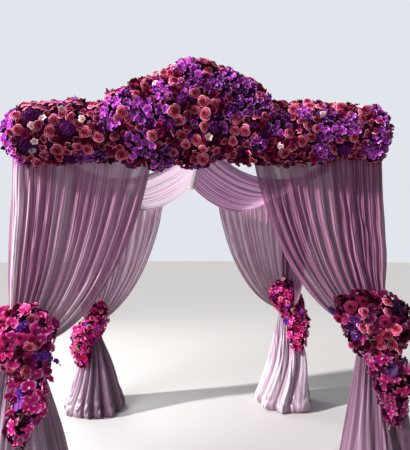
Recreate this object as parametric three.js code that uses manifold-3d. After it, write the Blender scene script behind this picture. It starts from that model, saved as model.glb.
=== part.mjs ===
import * as THREE from 'three';
import { mergeVertices } from 'three/addons/utils/BufferGeometryUtils.js';
import Module from 'manifold-3d';

// A four-post wedding canopy in millimetres, +Z up, its open front facing -Y.
// The origin is on the floor at the middle of the square of posts.

const wasm = await Module();
wasm.setup();

// Frame
const postHalf = 1219;
const beamHeight = 2743;
const postRadius = 24;
const beamRadius = 19;
const fittingHalf = 32;
const plateSize = 400;
const plateThickness = 12;
const collarRadius = 34;
const collarHeight = 70;
const gap = 0.3;

// Curtains: a rod pocket on the beam, pleats below it, gathered at each post
const curtainThickness = 6;
const curtainStandOff = 46;
const pleatDepth = 10;
const pleatsAcross = 6;
const curtainRows = 7;
const cornerWrap = 62;
const sideStart = -29;
const curtainTopRise = 10;
const pocketRadius = 26;
const pocketFront = 60;
const pocketTop = 32;
const pocketDrop = 40;
const openHalfTop = 330;
const openHalfUpper = 375;
const openHalfBelly = 640;
const upperShare = 0.65;
const tieOuter = 45;
const tieInner = 55;

// Tails below the ties
const neckRadius = 80;
const neckHeight = 50;
const tailWall = 10;
const tailRadius = 362;
const tailPleats = 9;
const tailPleatShare = 0.075;
const tailPleatFade = 300;
const tailPuffLength = 60;
const tailFlareCurve = 1.12;
const tailRings = [0, 0.3, 0.6, 0.85, 1];
const bandRadius = 90;
const bandDrop = 8;
const bandLift = 2;

// Ceiling
const ceilingSag = 312;
const ceilingThickness = 5;
const ceilingFrontY = -1085;
const ceilingRearY = 1180;
const ceilingFolds = 6;
const ceilingFoldDepth = 9;

// Flowers
const garlandHalf = 1300;
const garlandY = -1300;
const garlandDepth = 193;
const garlandTop = 2915;
const garlandBottom = 2510;
const garlandRound = 150;
const garlandEndHeight = 0.37;
const garlandEndDepth = 0.4;
const crestX = -110;
const crestHalf = 530;
const crestShoulder = 2960;
const crestTop = 3208;
const crestBottom = 2478;
const lump = 12;
const lumpLength = 47;
const logSides = 18;
const ringSpacing = 110;

// Each post: its place, the height of its tie, how far the tail puffs out under
// the band, and how high the curtain edge swings in above the tie
const posts = {
  front_left: { x: -1, y: -1, tie: 1320, puff: 70, belly: 60 },
  front_right: { x: 1, y: -1, tie: 1400, puff: 70, belly: 60 },
  rear_right: { x: 1, y: 1, tie: 1190, puff: 25, belly: 110 },
  rear_left: { x: -1, y: 1, tie: 1030, puff: 5, belly: 270 },
};

// Each face is drawn as the front one and turned about the vertical axis; its
// two curtains hang at the posts on the left and right of the unturned face
const faces = [
  { name: 'front', turn: 0, wraps: true, ends: ['left', 'right'], at: ['front_left', 'front_right'] },
  { name: 'right', turn: 90, wraps: false, ends: ['front', 'rear'], at: ['front_right', 'rear_right'] },
  { name: 'rear', turn: 180, wraps: true, ends: ['right', 'left'], at: ['rear_right', 'rear_left'] },
  { name: 'left', turn: 270, wraps: false, ends: ['rear', 'front'], at: ['rear_left', 'front_left'] },
];

// Bouquets: a main mass and a cascade below it, as centre and half sizes
const bouquets = {
  front_left: {
    mass: { at: [-1152, -1360, 1420], half: [225, 150, 200] },
    cascade: { at: [-1045, -1405, 1050], half: [110, 85, 280] },
  },
  front_right: {
    mass: { at: [1150, -1360, 1455], half: [250, 150, 215] },
    cascade: { at: [1185, -1430, 1085], half: [120, 85, 295] },
  },
  rear_right: {
    mass: { at: [1185, 1110, 1260], half: [240, 150, 300] },
    cascade: { at: [1345, 1070, 890], half: [130, 85, 225] },
  },
  rear_left: {
    mass: { at: [-1215, 1110, 970], half: [228, 150, 270] },
    cascade: { at: [-1230, 1050, 770], half: [125, 85, 210] },
  },
};

const steel = new THREE.MeshStandardMaterial({ color: 0xd9d6d2, roughness: 0.4, metalness: 0.6 });
const plate = new THREE.MeshStandardMaterial({ color: 0x2f2d30, roughness: 0.6, metalness: 0.5 });
const drape = new THREE.MeshStandardMaterial({ color: 0xb08ab0, roughness: 0.9, metalness: 0 });
const ribbon = new THREE.MeshStandardMaterial({ color: 0x9c6f9c, roughness: 0.6, metalness: 0 });
const blooms = new THREE.MeshStandardMaterial({ color: 0x9a2f78, roughness: 0.8, metalness: 0 });

const canopy = new THREE.Group();

function addMesh(name, geometry, material, parent = canopy) {
  const mesh = new THREE.Mesh(geometry, material.clone());
  mesh.name = name;
  parent.add(mesh);
  return mesh;
}

function joined(geometry) {
  geometry.deleteAttribute('normal');
  geometry.deleteAttribute('uv');
  return mergeVertices(geometry, 0.001);
}

function solid(geometry) {
  const merged = joined(geometry);
  const vertProperties = new Float32Array(merged.attributes.position.array);
  const triVerts = new Uint32Array(merged.index.array);
  return new wasm.Manifold(new wasm.Mesh({ numProp: 3, vertProperties, triVerts }));
}

function shapeOf(manifold) {
  const mesh = manifold.getMesh();
  const geometry = new THREE.BufferGeometry();
  geometry.setAttribute('position', new THREE.BufferAttribute(mesh.vertProperties, 3));
  geometry.setIndex(new THREE.BufferAttribute(mesh.triVerts, 1));
  geometry.computeVertexNormals();
  return geometry;
}

function displaced(geometry, move) {
  const shape = joined(geometry);
  const position = shape.attributes.position;
  const point = new THREE.Vector3();
  for (let i = 0; i < position.count; i++) {
    point.fromBufferAttribute(position, i);
    move(point);
    position.setXYZ(i, point.x, point.y, point.z);
  }
  shape.computeVertexNormals();
  return shape;
}

// An axis-aligned block given by its two corners
function block(low, high) {
  const size = high.map((value, i) => value - low[i]);
  const middle = high.map((value, i) => (value + low[i]) / 2);
  return new THREE.BoxGeometry(...size).translate(...middle);
}

// A vertical tube or rod turned about the Z axis from a closed profile of [radius, z]
function turned(profile, segments) {
  const points = profile.map(([radius, z]) => new THREE.Vector2(radius, z));
  return new THREE.LatheGeometry(points, segments).rotateX(Math.PI / 2);
}

function rod(radius, length) {
  return new THREE.CylinderGeometry(radius, radius, length, 16);
}

const mix = THREE.MathUtils.lerp;

function addBase(name, x, y) {
  const half = plateSize / 2;
  const foot = solid(block([-half, -half, 0], [half, half, plateThickness]));
  const collar = solid(turned([
    [postRadius + gap, plateThickness / 2],
    [collarRadius, plateThickness / 2],
    [collarRadius, plateThickness + collarHeight],
    [postRadius + gap, plateThickness + collarHeight],
    [postRadius + gap, plateThickness / 2],
  ], 20));
  addMesh(`base_plate_${name}`, shapeOf(foot.add(collar)), plate).position.set(x, y, 0);
}

function addPost(name, x, y) {
  const bottom = plateThickness + gap;
  const top = beamHeight - fittingHalf - gap;
  const tube = rod(postRadius, top - bottom).rotateX(Math.PI / 2);
  addMesh(`post_${name}`, tube, steel).position.set(x, y, (bottom + top) / 2);
}

function addFitting(name, x, y) {
  const cube = new THREE.BoxGeometry(2 * fittingHalf, 2 * fittingHalf, 2 * fittingHalf);
  addMesh(`corner_fitting_${name}`, cube, steel).position.set(x, y, beamHeight);
}

function addBeams() {
  const length = 2 * (postHalf - fittingHalf - gap);
  for (const { name, turn } of faces) {
    const face = new THREE.Group();
    face.rotation.z = THREE.MathUtils.degToRad(turn);
    canopy.add(face);
    addMesh(`beam_${name}`, rod(beamRadius, length).rotateZ(Math.PI / 2), steel, face)
      .position.set(0, -postHalf, beamHeight);
  }
  const rafter = rod(beamRadius, 2 * (postHalf - beamRadius - gap));
  addMesh('rafter_centre', rafter, steel).position.set(0, 0, beamHeight);
}

// The outer and inner edges of a gathered curtain in the plane of its face: x runs
// from the post towards the opening and y is the height, from the beam to the tie
function curtainEdges(face, post) {
  const top = beamHeight + curtainTopRise;
  const inner = new THREE.CubicBezierCurve(
    new THREE.Vector2(postHalf - openHalfTop, top),
    new THREE.Vector2(postHalf - openHalfUpper, mix(post.tie, top, upperShare)),
    new THREE.Vector2(postHalf - openHalfBelly, post.tie + post.belly),
    new THREE.Vector2(tieInner, post.tie),
  );
  const outer = new THREE.LineCurve(
    new THREE.Vector2(face.wraps ? -cornerWrap : sideStart, top),
    new THREE.Vector2(face.wraps ? -tieOuter : 0, post.tie),
  );
  return { inner, outer };
}

function curtainSheet(face, post, hand) {
  const { inner, outer } = curtainEdges(face, post);
  return displaced(new THREE.BoxGeometry(1, 1, 1, 2 * pleatsAcross, 1, curtainRows), (point) => {
    const across = hand > 0 ? point.x + 0.5 : 0.5 - point.x;
    const down = 0.5 - point.z;
    const from = outer.getPoint(down);
    const to = inner.getPoint(down);
    const wave = pleatDepth * Math.cos(2 * Math.PI * pleatsAcross * across);
    point.x = hand * (mix(from.x, to.x, across) - postHalf);
    point.y = curtainThickness * point.y - postHalf - curtainStandOff - wave;
    point.z = mix(from.y, to.y, across);
  });
}

// The rod pocket: a sleeve round the beam with a ruffle in front of it
function rodPocket(hand) {
  const outline = new THREE.Shape();
  outline.moveTo(0, pocketTop);
  outline.lineTo(0, pocketRadius);
  outline.absarc(0, 0, pocketRadius, Math.PI / 2, -Math.PI / 2, true);
  outline.lineTo(0, -pocketDrop);
  outline.lineTo(-pocketFront, -pocketDrop);
  outline.lineTo(-pocketFront, pocketTop);
  const bore = new THREE.Path();
  bore.absarc(0, 0, (beamRadius + gap) / Math.cos(Math.PI / 16), 0, 2 * Math.PI, false);
  outline.holes.push(bore);
  const start = fittingHalf + 1;
  const length = postHalf - openHalfTop - start;
  const sleeve = new THREE.ExtrudeGeometry(outline, { depth: length, bevelEnabled: false, curveSegments: 8 });
  const along = hand > 0 ? start - postHalf : postHalf - start - length;
  return sleeve.rotateX(Math.PI / 2).rotateZ(Math.PI / 2).translate(along, -postHalf, beamHeight);
}

function addCurtains() {
  for (const face of faces) {
    const plane = new THREE.Group();
    plane.rotation.z = THREE.MathUtils.degToRad(face.turn);
    canopy.add(plane);
    [1, -1].forEach((hand, i) => {
      const sheet = solid(curtainSheet(face, posts[face.at[i]], hand));
      const curtain = shapeOf(sheet.add(solid(rodPocket(hand))));
      addMesh(`curtain_${face.name}_${face.ends[i]}`, curtain, drape, plane);
    });
  }
}

// Outer radius of a tail at a height, before its pleats
function tailProfile(post, z) {
  const length = post.tie - neckHeight;
  const drop = Math.max(0, length - z);
  const puffed = post.puff * (1 - Math.exp(-drop / tailPuffLength));
  return neckRadius + puffed + (tailRadius - neckRadius - post.puff) * (drop / length) ** tailFlareCurve;
}

function tailPleat(post, z) {
  const drop = Math.max(0, post.tie - neckHeight - z);
  return tailPleatShare * Math.min(1, drop / tailPleatFade);
}

// Heights of the rings of a tail, from the floor to the underside of the neck
function tailHeights(post) {
  const length = post.tie - neckHeight;
  return tailRings.map((share) => share * length);
}

function addTail(name, x, y) {
  const post = posts[name];
  const heights = tailHeights(post);
  const outside = heights.map((z) => [tailProfile(post, z), z]);
  const inside = heights.slice(0, -1).map((z) => [tailProfile(post, z) - tailWall, z]);
  const neckTop = post.tie - gap;
  const bore = postRadius + 2 * gap;
  const neck = [[neckRadius, neckTop], [bore, neckTop], [bore, post.tie - neckHeight - tailWall]];
  const profile = [...outside, ...neck, ...inside.reverse(), outside[0]];
  const shell = displaced(turned(profile, 3 * tailPleats), (point) => {
    const radius = Math.hypot(point.x, point.y);
    if (radius < neckRadius - tailWall) return;
    const angle = Math.atan2(point.y, point.x);
    const swell = 1 + tailPleat(post, point.z) * Math.cos(tailPleats * angle);
    point.x *= swell;
    point.y *= swell;
  });
  addMesh(`tail_${name}`, shell, drape).position.set(x, y, 0);
}

function addBand(name, x, y) {
  const top = posts[name].tie - bandDrop;
  const bottom = posts[name].tie - neckHeight + bandLift;
  const inner = neckRadius + gap;
  const ring = turned([
    [inner, bottom], [bandRadius, bottom], [bandRadius, top], [inner, top], [inner, bottom],
  ], 3 * tailPleats);
  addMesh(`tie_band_${name}`, joined(ring), ribbon).position.set(x, y, 0);
}

// One swagged panel: x runs from the centre rafter (across 0) to the side beam
// (across 1); its edges lie over the rafter and over the rod pockets
function addCeiling(name, side) {
  const overRafter = beamHeight + Math.SQRT2 * (beamRadius + ceilingThickness / 2) - gap;
  const overBeam = beamHeight + Math.SQRT2 * (pocketRadius + ceilingThickness / 2) - gap;
  const panel = displaced(new THREE.BoxGeometry(1, 1, 1, 8, 2 * ceilingFolds, 1), (point) => {
    const across = side > 0 ? point.x + 0.5 : 0.5 - point.x;
    const along = point.y + 0.5;
    const hang = 4 * across * (1 - across);
    const fold = ceilingFoldDepth * hang * Math.cos(2 * Math.PI * ceilingFolds * along);
    point.x = side * mix(gap, postHalf, across);
    point.y = mix(ceilingFrontY, ceilingRearY, along);
    point.z = mix(overRafter, overBeam, across) - ceilingSag * hang + fold
      + Math.SQRT2 * ceilingThickness * point.z;
  });
  addMesh(`ceiling_${name}`, panel, drape);
}

// Uneven surface of a mass of flowers, from two crossing waves round and along it
function lumps(x, angle) {
  const broad = Math.sin(x / lumpLength + 2 * angle);
  const fine = Math.cos(1.6 * x / lumpLength - 3 * angle);
  return lump * (0.6 * broad + 0.4 * fine);
}

// A log of flowers along the front beam between two x, with heights from outline(x)
function flowerLog(from, to, outline) {
  const rings = Math.round((to - from) / ringSpacing);
  return displaced(new THREE.CylinderGeometry(1, 1, 1, logSides, rings), (point) => {
    const x = mix(from, to, 0.5 - point.y);
    const angle = Math.atan2(point.z, point.x);
    const { top, bottom, depth } = outline(x);
    const fill = Math.hypot(point.x, point.z);
    const rough = fill * lumps(x, angle) * (depth / garlandDepth);
    point.y = garlandY + point.x * depth + Math.cos(angle) * rough;
    point.z = (top + bottom) / 2 + point.z * (top - bottom) / 2 + Math.sin(angle) * rough;
    point.x = x;
  });
}

function garlandOutline(x) {
  const inset = Math.max(0, Math.abs(x) - garlandHalf + garlandRound) / garlandRound;
  const full = Math.sqrt(Math.max(0, 1 - inset ** 2));
  const middle = (garlandTop + garlandBottom) / 2;
  const height = mix(garlandEndHeight, 1, full);
  return {
    top: mix(middle, garlandTop, height),
    bottom: mix(middle, garlandBottom, height),
    depth: mix(garlandEndDepth, 1, full) * garlandDepth,
  };
}

function crestOutline(x) {
  const away = (x - crestX) / crestHalf;
  const dome = Math.sqrt(Math.max(0, 1 - away * away));
  return {
    top: mix(crestShoulder, crestTop, dome),
    bottom: mix(garlandBottom, crestBottom, dome),
    depth: garlandDepth,
  };
}

// The space that the front beam, its rod pockets, the curtains and the corner
// take up inside the garland, open underneath
function beamChannel() {
  const floor = garlandBottom - 200;
  const seat = beamHeight + pocketTop + gap;
  const front = -postHalf - pocketFront - 1.5;
  const back = -postHalf + fittingHalf + 1;
  const end = postHalf - fittingHalf - 1;
  const slot = solid(block([-2 * postHalf, front, floor], [2 * postHalf, back, seat]));
  const leftEnd = solid(block([-2 * postHalf, front, floor], [-end, 0, seat]));
  const rightEnd = solid(block([end, front, floor], [2 * postHalf, 0, seat]));
  const rafterHalf = beamRadius + 1;
  const rafterSlot = solid(block([-rafterHalf, front, floor], [rafterHalf, 0, beamHeight + rafterHalf]));
  return slot.add(leftEnd).add(rightEnd).add(rafterSlot);
}

function addGarland() {
  const channel = beamChannel();
  const crestLeft = crestX - crestHalf;
  const crestRight = crestX + crestHalf;
  const pieces = {
    garland_left: flowerLog(-garlandHalf, crestLeft - gap, garlandOutline),
    garland_crest: flowerLog(crestLeft, crestRight, crestOutline),
    garland_right: flowerLog(crestRight + gap, garlandHalf, garlandOutline),
  };
  for (const [name, log] of Object.entries(pieces)) {
    addMesh(name, shapeOf(solid(log).subtract(channel)), blooms);
  }
}

function flowerMass({ at, half }) {
  return solid(displaced(new THREE.SphereGeometry(1, 13, 9), (point) => {
    const angle = Math.atan2(point.z, point.x);
    const rough = 1 + lumps(half[2] * point.y, angle) / half[2];
    point.multiplyScalar(rough).multiply(new THREE.Vector3(...half)).add(new THREE.Vector3(...at));
  }));
}

// What a bouquet leaves free round its post: the tail, the band, the post, the
// curtains behind it and, at a rear post, the curtain of the side face
function postClearance(name) {
  const post = posts[name];
  const x = post.x * postHalf;
  const y = post.y * postHalf;
  const swell = (z) => tailProfile(post, z) * (1 + tailPleat(post, z)) + gap;
  const collar = bandRadius + gap;
  const hull = tailHeights(post).map((z) => [swell(z), z]);
  const bandFoot = post.tie - neckHeight - 1;
  const bandTop = post.tie + 3;
  const foot = [[0, -1], [swell(0), -1]];
  const profile = [...foot, ...hull.slice(0, -1), [collar, bandFoot], [collar, bandTop], [0, bandTop]];
  const tail = solid(turned(profile, 3 * tailPleats).translate(x, y, 0));
  const pole = solid(rod(postRadius + gap, 1000).rotateX(Math.PI / 2).translate(x, y, post.tie + 450));
  const nearFace = curtainStandOff - pleatDepth - curtainThickness;
  const farFace = curtainStandOff + pleatDepth + curtainThickness;
  const back = post.y < 0 ? -postHalf - farFace : postHalf + nearFace;
  const behind = solid(block([x - 800, back, 0], [x + 800, back + 900, 3000]));
  const taken = tail.add(pole).add(behind);
  if (post.y < 0) return taken;
  const sideFace = [x + post.x * nearFace, x + post.x * farFace].sort((a, b) => a - b);
  return taken.add(solid(block([sideFace[0], 0, post.tie - 1], [sideFace[1], back + 1, 3000])));
}

function addBouquet(name) {
  const { mass, cascade } = bouquets[name];
  const flowers = flowerMass(mass).add(flowerMass(cascade));
  addMesh(`bouquet_${name}`, shapeOf(flowers.subtract(postClearance(name))), blooms);
}

for (const [name, post] of Object.entries(posts)) {
  const x = post.x * postHalf;
  const y = post.y * postHalf;
  addBase(name, x, y);
  addPost(name, x, y);
  addFitting(name, x, y);
  addTail(name, x, y);
  addBand(name, x, y);
  addBouquet(name);
}
addBeams();
addCurtains();
addCeiling('left', -1);
addCeiling('right', 1);
addGarland();

export default canopy;
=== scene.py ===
import math

import bpy
import numpy as np
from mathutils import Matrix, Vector
from mathutils.bvhtree import BVHTree


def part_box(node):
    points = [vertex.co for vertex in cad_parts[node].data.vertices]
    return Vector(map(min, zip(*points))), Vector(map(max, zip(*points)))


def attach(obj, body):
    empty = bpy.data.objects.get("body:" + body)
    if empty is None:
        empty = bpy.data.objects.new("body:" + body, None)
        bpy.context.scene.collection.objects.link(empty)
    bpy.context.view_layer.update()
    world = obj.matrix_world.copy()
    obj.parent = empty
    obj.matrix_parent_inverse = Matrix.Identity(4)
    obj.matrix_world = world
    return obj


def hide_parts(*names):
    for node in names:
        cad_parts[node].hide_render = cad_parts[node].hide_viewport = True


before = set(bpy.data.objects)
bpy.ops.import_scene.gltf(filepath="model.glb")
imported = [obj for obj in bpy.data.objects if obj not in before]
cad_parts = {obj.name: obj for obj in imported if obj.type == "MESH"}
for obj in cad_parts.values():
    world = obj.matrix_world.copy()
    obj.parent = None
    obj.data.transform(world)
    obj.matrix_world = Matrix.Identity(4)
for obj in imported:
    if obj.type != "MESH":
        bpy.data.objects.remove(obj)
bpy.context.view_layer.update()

# All lengths are metres. The open front faces -Y and the posts stand round the origin.

camera = {
    "eye": (-0.18, -4.09, 1.97),
    "turnRight": 3.9,            # degrees
    "lookUp": 3.2,
    "focal": 416 / 450,          # focal length as a share of the picture's height
    "pictureWidth": 410, "pictureHeight": 450,
}

studio = {
    "floorRadius": 60, "floorColor": (0.46, 0.455, 0.45),
    "worldColor": (0.90, 0.94, 1.0),
    "worldStrength": 0.36, "backdropStrength": 0.84,      # what lights the arch, and what stands behind it
    "sun": {"power": 7.8, "angle": 3.0, "from": (-0.85, -0.29, 0.43), "color": (1.0, 0.96, 0.93)},
    "back": {"power": 220, "size": 3.0, "at": (-3.5, 5.0, 4.5), "color": (1.0, 0.97, 0.93)},
    "fill": {"power": 380, "size": 2.6, "at": (-3.8, -2.5, 5.5), "color": (0.93, 0.95, 1.0)},
    "lampsAimAt": (0, 0, 1.5),
}


def addObject(name, data, materials=()):
    for material in materials:
        data.materials.append(material)
    made = bpy.data.objects.new(name, data)
    bpy.context.collection.objects.link(made)
    return made


def makeCamera():
    data = bpy.data.cameras.new("camera")
    data.sensor_width = 36
    data.lens = data.sensor_width * camera["focal"]
    data.clip_end = 200
    eye = addObject("camera", data)
    eye.location = camera["eye"]
    eye.rotation_euler = (math.radians(90 + camera["lookUp"]), 0, -math.radians(camera["turnRight"]))
    bpy.context.scene.camera = eye
    bpy.context.scene.view_settings.view_transform = "Standard"


def makeLamp(name, kind):
    values = studio[name]
    data = bpy.data.lights.new(name, kind)
    data.energy, data.color = values["power"], values["color"]
    lamp = addObject(name, data)
    if kind == "SUN":
        data.angle = math.radians(values["angle"])
        away = Vector(values["from"])
    else:
        data.size = values["size"]
        lamp.location = values["at"]
        away = lamp.location - Vector(studio["lampsAimAt"])
    lamp.rotation_euler = away.to_track_quat("Z", "Y").to_euler()


def makeWorld():
    world = bpy.data.worlds.new("studio")
    world.use_nodes = True
    tree = world.node_tree
    back = tree.nodes["Background"]
    back.inputs["Color"].default_value = (*studio["worldColor"], 1)
    seen = tree.nodes.new("ShaderNodeLightPath")
    strength = tree.nodes.new("ShaderNodeMapRange")
    strength.inputs["To Min"].default_value = studio["worldStrength"]
    strength.inputs["To Max"].default_value = studio["backdropStrength"]
    tree.links.new(seen.outputs["Is Camera Ray"], strength.inputs["Value"])
    tree.links.new(strength.outputs[0], back.inputs["Strength"])
    bpy.context.scene.world = world


def makeFloor():
    bpy.ops.mesh.primitive_circle_add(vertices=96, radius=studio["floorRadius"], fill_type="NGON")
    floor = bpy.context.object
    floor.name = "floor"
    paint = bpy.data.materials.new("studioFloor")
    paint.use_nodes = True
    shader = paint.node_tree.nodes["Principled BSDF"]
    shader.inputs["Base Color"].default_value = (*studio["floorColor"], 1)
    shader.inputs["Roughness"].default_value = 0.8
    floor.data.materials.append(paint)


makeCamera()
makeWorld()
for name, kind in (("sun", "SUN"), ("back", "AREA"), ("fill", "AREA")):
    makeLamp(name, kind)
makeFloor()
print("camera and studio ready")


# Small helpers for shapes

def mix(a, b, t):
    return a + (b - a) * t


def ease(x, low, high):
    t = np.clip((x - low) / (high - low), 0, 1)
    return t * t * (3 - 2 * t)


def across(count):
    return np.linspace(0, 1, count + 1)[None, :]


def down(count):
    return np.linspace(0, 1, count + 1)[:, None]


def around(count):
    return np.linspace(0, 2 * math.pi, count, endpoint=False)[None, :]


def grid(*parts):
    # rows, columns and whole grids of numbers, joined into one grid of vectors
    return np.stack(np.broadcast_arrays(*parts), -1)


def unit(vectors):
    return vectors / np.maximum(np.linalg.norm(vectors, axis=-1, keepdims=True), 1e-12)


def ripple(x, seed, waves=4):
    # a smooth wandering line round 0, mostly within -1 and 1
    rng = np.random.default_rng(seed)
    total = np.zeros_like(np.asarray(x, float))
    for k in range(1, waves + 1):
        total = total + np.sin(2 * math.pi * (k * rng.uniform(0.75, 1.25) * x + rng.random())) / k
    return total / 1.5


def quadMesh(name, points, quads, uv, marks, slots=None):
    # points (n, 3), quads (m, 4), uv (n, 2) and marks (n, 3) at the points
    mesh = bpy.data.meshes.new(name)
    mesh.vertices.add(len(points))
    mesh.vertices.foreach_set("co", np.ascontiguousarray(points, np.float32).ravel())
    mesh.loops.add(quads.size)
    mesh.loops.foreach_set("vertex_index", np.ascontiguousarray(quads, np.int32).ravel())
    mesh.polygons.add(len(quads))
    mesh.polygons.foreach_set("loop_start", np.arange(0, quads.size, 4, dtype=np.int32))
    if slots is not None:
        mesh.polygons.foreach_set("material_index", np.asarray(slots, np.int32))
    mesh.update(calc_edges=True)
    mesh.shade_smooth()
    layer = mesh.uv_layers.new(name="cloth")
    layer.data.foreach_set("uv", np.asarray(uv, np.float32)[quads.ravel()].ravel())
    rgba = np.ones((len(points), 4), np.float32)
    rgba[:, :3] = marks
    mesh.color_attributes.new("marks", "FLOAT_COLOR", "POINT").data.foreach_set("color", rgba.ravel())
    return mesh


def gridQuads(rows, cols, ring=False):
    # faces of a grid of rows x cols cells; a ring joins its last column to its first
    wide = cols if ring else cols + 1
    r, c = np.meshgrid(np.arange(rows), np.arange(cols), indexing="ij")
    a = r * wide + c
    b = r * wide + (c + 1) % wide
    return np.stack([a, b, b + wide, a + wide], axis=-1).reshape(-1, 4)


# Materials

class Nodes:
    # short words for building one node tree
    def __init__(self, tree):
        self.tree = tree

    def feed(self, socket, value):
        # a link where value is another node's output, otherwise a fixed value
        if hasattr(value, "is_output"):
            self.tree.links.new(value, socket)
        elif value is not None:
            socket.default_value = (*value, 1) if socket.type == "RGBA" else value

    def set(self, node, **inputs):
        for key, value in inputs.items():
            self.feed(node.inputs[key.replace("_", " ")], value)
        return node

    def add(self, kind, settings=None, **inputs):
        made = self.tree.nodes.new(kind)
        for key, value in (settings or {}).items():
            setattr(made, key, value)
        return self.set(made, **inputs)

    def math(self, operation, a, b=None):
        made = self.add("ShaderNodeMath", {"operation": operation})
        self.feed(made.inputs[0], a)
        self.feed(made.inputs[1], b)
        return made.outputs[0]

    def times(self, a, b):
        return self.math("MULTIPLY", a, b)

    def plus(self, a, b):
        return self.math("ADD", a, b)

    def minus(self, a, b):
        return self.math("SUBTRACT", a, b)

    def mix(self, factor, a, b, blend="MIX"):
        made = self.add("ShaderNodeMix", {"data_type": "RGBA", "blend_type": blend})
        for index, value in ((0, factor), (6, a), (7, b)):
            self.feed(made.inputs[index], value)
        return made.outputs[2]

    def ramp(self, factor, stops):
        made = self.add("ShaderNodeValToRGB", Fac=factor)
        elements = made.color_ramp.elements
        while len(elements) < len(stops):
            elements.new(0.5)
        for element, (place, color) in zip(elements, stops):
            element.position = place
            element.color = (*color, 1)
        return made.outputs[0]

    def noise(self, vector, stretch=None, **inputs):
        if stretch:
            stretched = self.add("ShaderNodeVectorMath", {"operation": "MULTIPLY"})
            self.feed(stretched.inputs[0], vector)
            self.feed(stretched.inputs[1], stretch)
            vector = stretched.outputs[0]
        return self.add("ShaderNodeTexNoise", Vector=vector, **inputs).outputs[0]

    def group(self, group, **inputs):
        return self.add("ShaderNodeGroup", {"node_tree": group}, **inputs).outputs

    def bump(self, height, strength, distance):
        return self.add("ShaderNodeBump", Height=height, Strength=strength, Distance=distance).outputs[0]

    def marks(self):
        # the cloth coordinates and the three marks of a sheet or a petal
        cloth = self.add("ShaderNodeUVMap", {"uv_map": "cloth"}).outputs[0]
        color = self.add("ShaderNodeAttribute", {"attribute_name": "marks"}).outputs["Color"]
        return cloth, *self.add("ShaderNodeSeparateColor", Color=color).outputs

    def backlit(self, shader, color, share):
        # lets light through: the shader, mixed with a translucent one
        lit = self.add("ShaderNodeBsdfTranslucent", Color=color)
        glowing = self.add("ShaderNodeMixShader", Fac=share)
        self.tree.links.new(shader.outputs[0], glowing.inputs[1])
        self.tree.links.new(lit.outputs[0], glowing.inputs[2])
        self.tree.links.new(glowing.outputs[0], self.tree.nodes["Material Output"].inputs["Surface"])


def newMaterial(name):
    material = bpy.data.materials.new(name)
    material.use_nodes = True
    return material, Nodes(material.node_tree), material.node_tree.nodes["Principled BSDF"]


def newGroup(name, ins, outs):
    # ins are {name: default}, None for a vector; outs are names of numbers
    tree = bpy.data.node_groups.new(name, "ShaderNodeTree")
    for label, value in ins.items():
        kind = "NodeSocketVector" if value is None else "NodeSocketFloat"
        socket = tree.interface.new_socket(label, in_out="INPUT", socket_type=kind)
        if value is not None:
            socket.default_value = value
    for label in outs:
        tree.interface.new_socket(label, in_out="OUTPUT", socket_type="NodeSocketFloat")
    return Nodes(tree), tree.nodes.new("NodeGroupInput").outputs, tree.nodes.new("NodeGroupOutput")


weaveLook = {
    # how the noise is stretched along the cloth, and its detail
    "slub": ((260, 9, 1), 3.0), "streak": ((62, 0.8, 1), 2.0), "crease": ((23, 0.50, 1), 1.0),
    "creaseSharpness": 32.0,
}


def makeWeave():
    # plain weave: crossing threads from the cloth's own flat coordinates
    n, given, end = newGroup("weave", {"Cloth": None, "Threads per metre": 700.0, "Slub": 0.3},
                             ("Height", "Slub mask", "Streak mask", "Crease mask"))
    scaled = n.add("ShaderNodeVectorMath", {"operation": "SCALE"}, Scale=given["Threads per metre"])
    n.feed(scaled.inputs[0], given["Cloth"])
    parts = n.add("ShaderNodeSeparateXYZ", Vector=scaled.outputs[0]).outputs
    warp, weft = (n.math("SINE", n.times(parts[k], math.pi)) for k in (0, 1))
    slub, streak, lines = (n.noise(given["Cloth"], weaveLook[key][0], Scale=1.0, Detail=weaveLook[key][1])
                           for key in ("slub", "streak", "crease"))
    # the crease mask marks thin lines that the cloth paints as shade in creases
    near = n.math("ABSOLUTE", n.minus(lines, 0.5))
    thin = n.minus(1.0, n.times(near, weaveLook["creaseSharpness"]))
    n.set(end, Height=n.plus(n.times(warp, weft), n.times(slub, given["Slub"])), Slub_mask=slub,
          Streak_mask=streak, Crease_mask=n.math("MAXIMUM", thin, 0.0))
    return n.tree


def makeVeins():
    # fine veins that run from a petal's base to its rim
    n, given, end = newGroup("veins", {"Petal": None, "Count": 9.0, "Wander": 0.25}, ("Height", "Mask"))
    parts = n.add("ShaderNodeSeparateXYZ", Vector=given["Petal"]).outputs
    shift = n.times(n.noise(given["Petal"], (5, 1.6, 1), Scale=2.0, Detail=2.0), given["Wander"])
    turns = n.times(n.times(n.plus(parts[0], shift), given["Count"]), 2 * math.pi)
    wave = n.plus(n.times(n.math("SINE", turns), 0.5), 0.5)
    sharp = n.math("POWER", wave, 3.0)
    n.set(end, Height=sharp, Mask=sharp)
    return n.tree


def makeMottle():
    # soft uneven patches in the object's own space
    n, given, end = newGroup("mottle", {"Scale": 3.0, "Contrast": 1.0}, ("Mask",))
    place = n.add("ShaderNodeTexCoord").outputs["Object"]
    off = n.minus(n.noise(place, Scale=given["Scale"], Detail=4.0), 0.5)
    clamp = n.add("ShaderNodeClamp", Value=n.plus(n.times(off, given["Contrast"]), 0.5))
    n.set(end, Mask=clamp.outputs[0])
    return n.tree


weave, veins, mottle = makeWeave(), makeVeins(), makeMottle()

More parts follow.
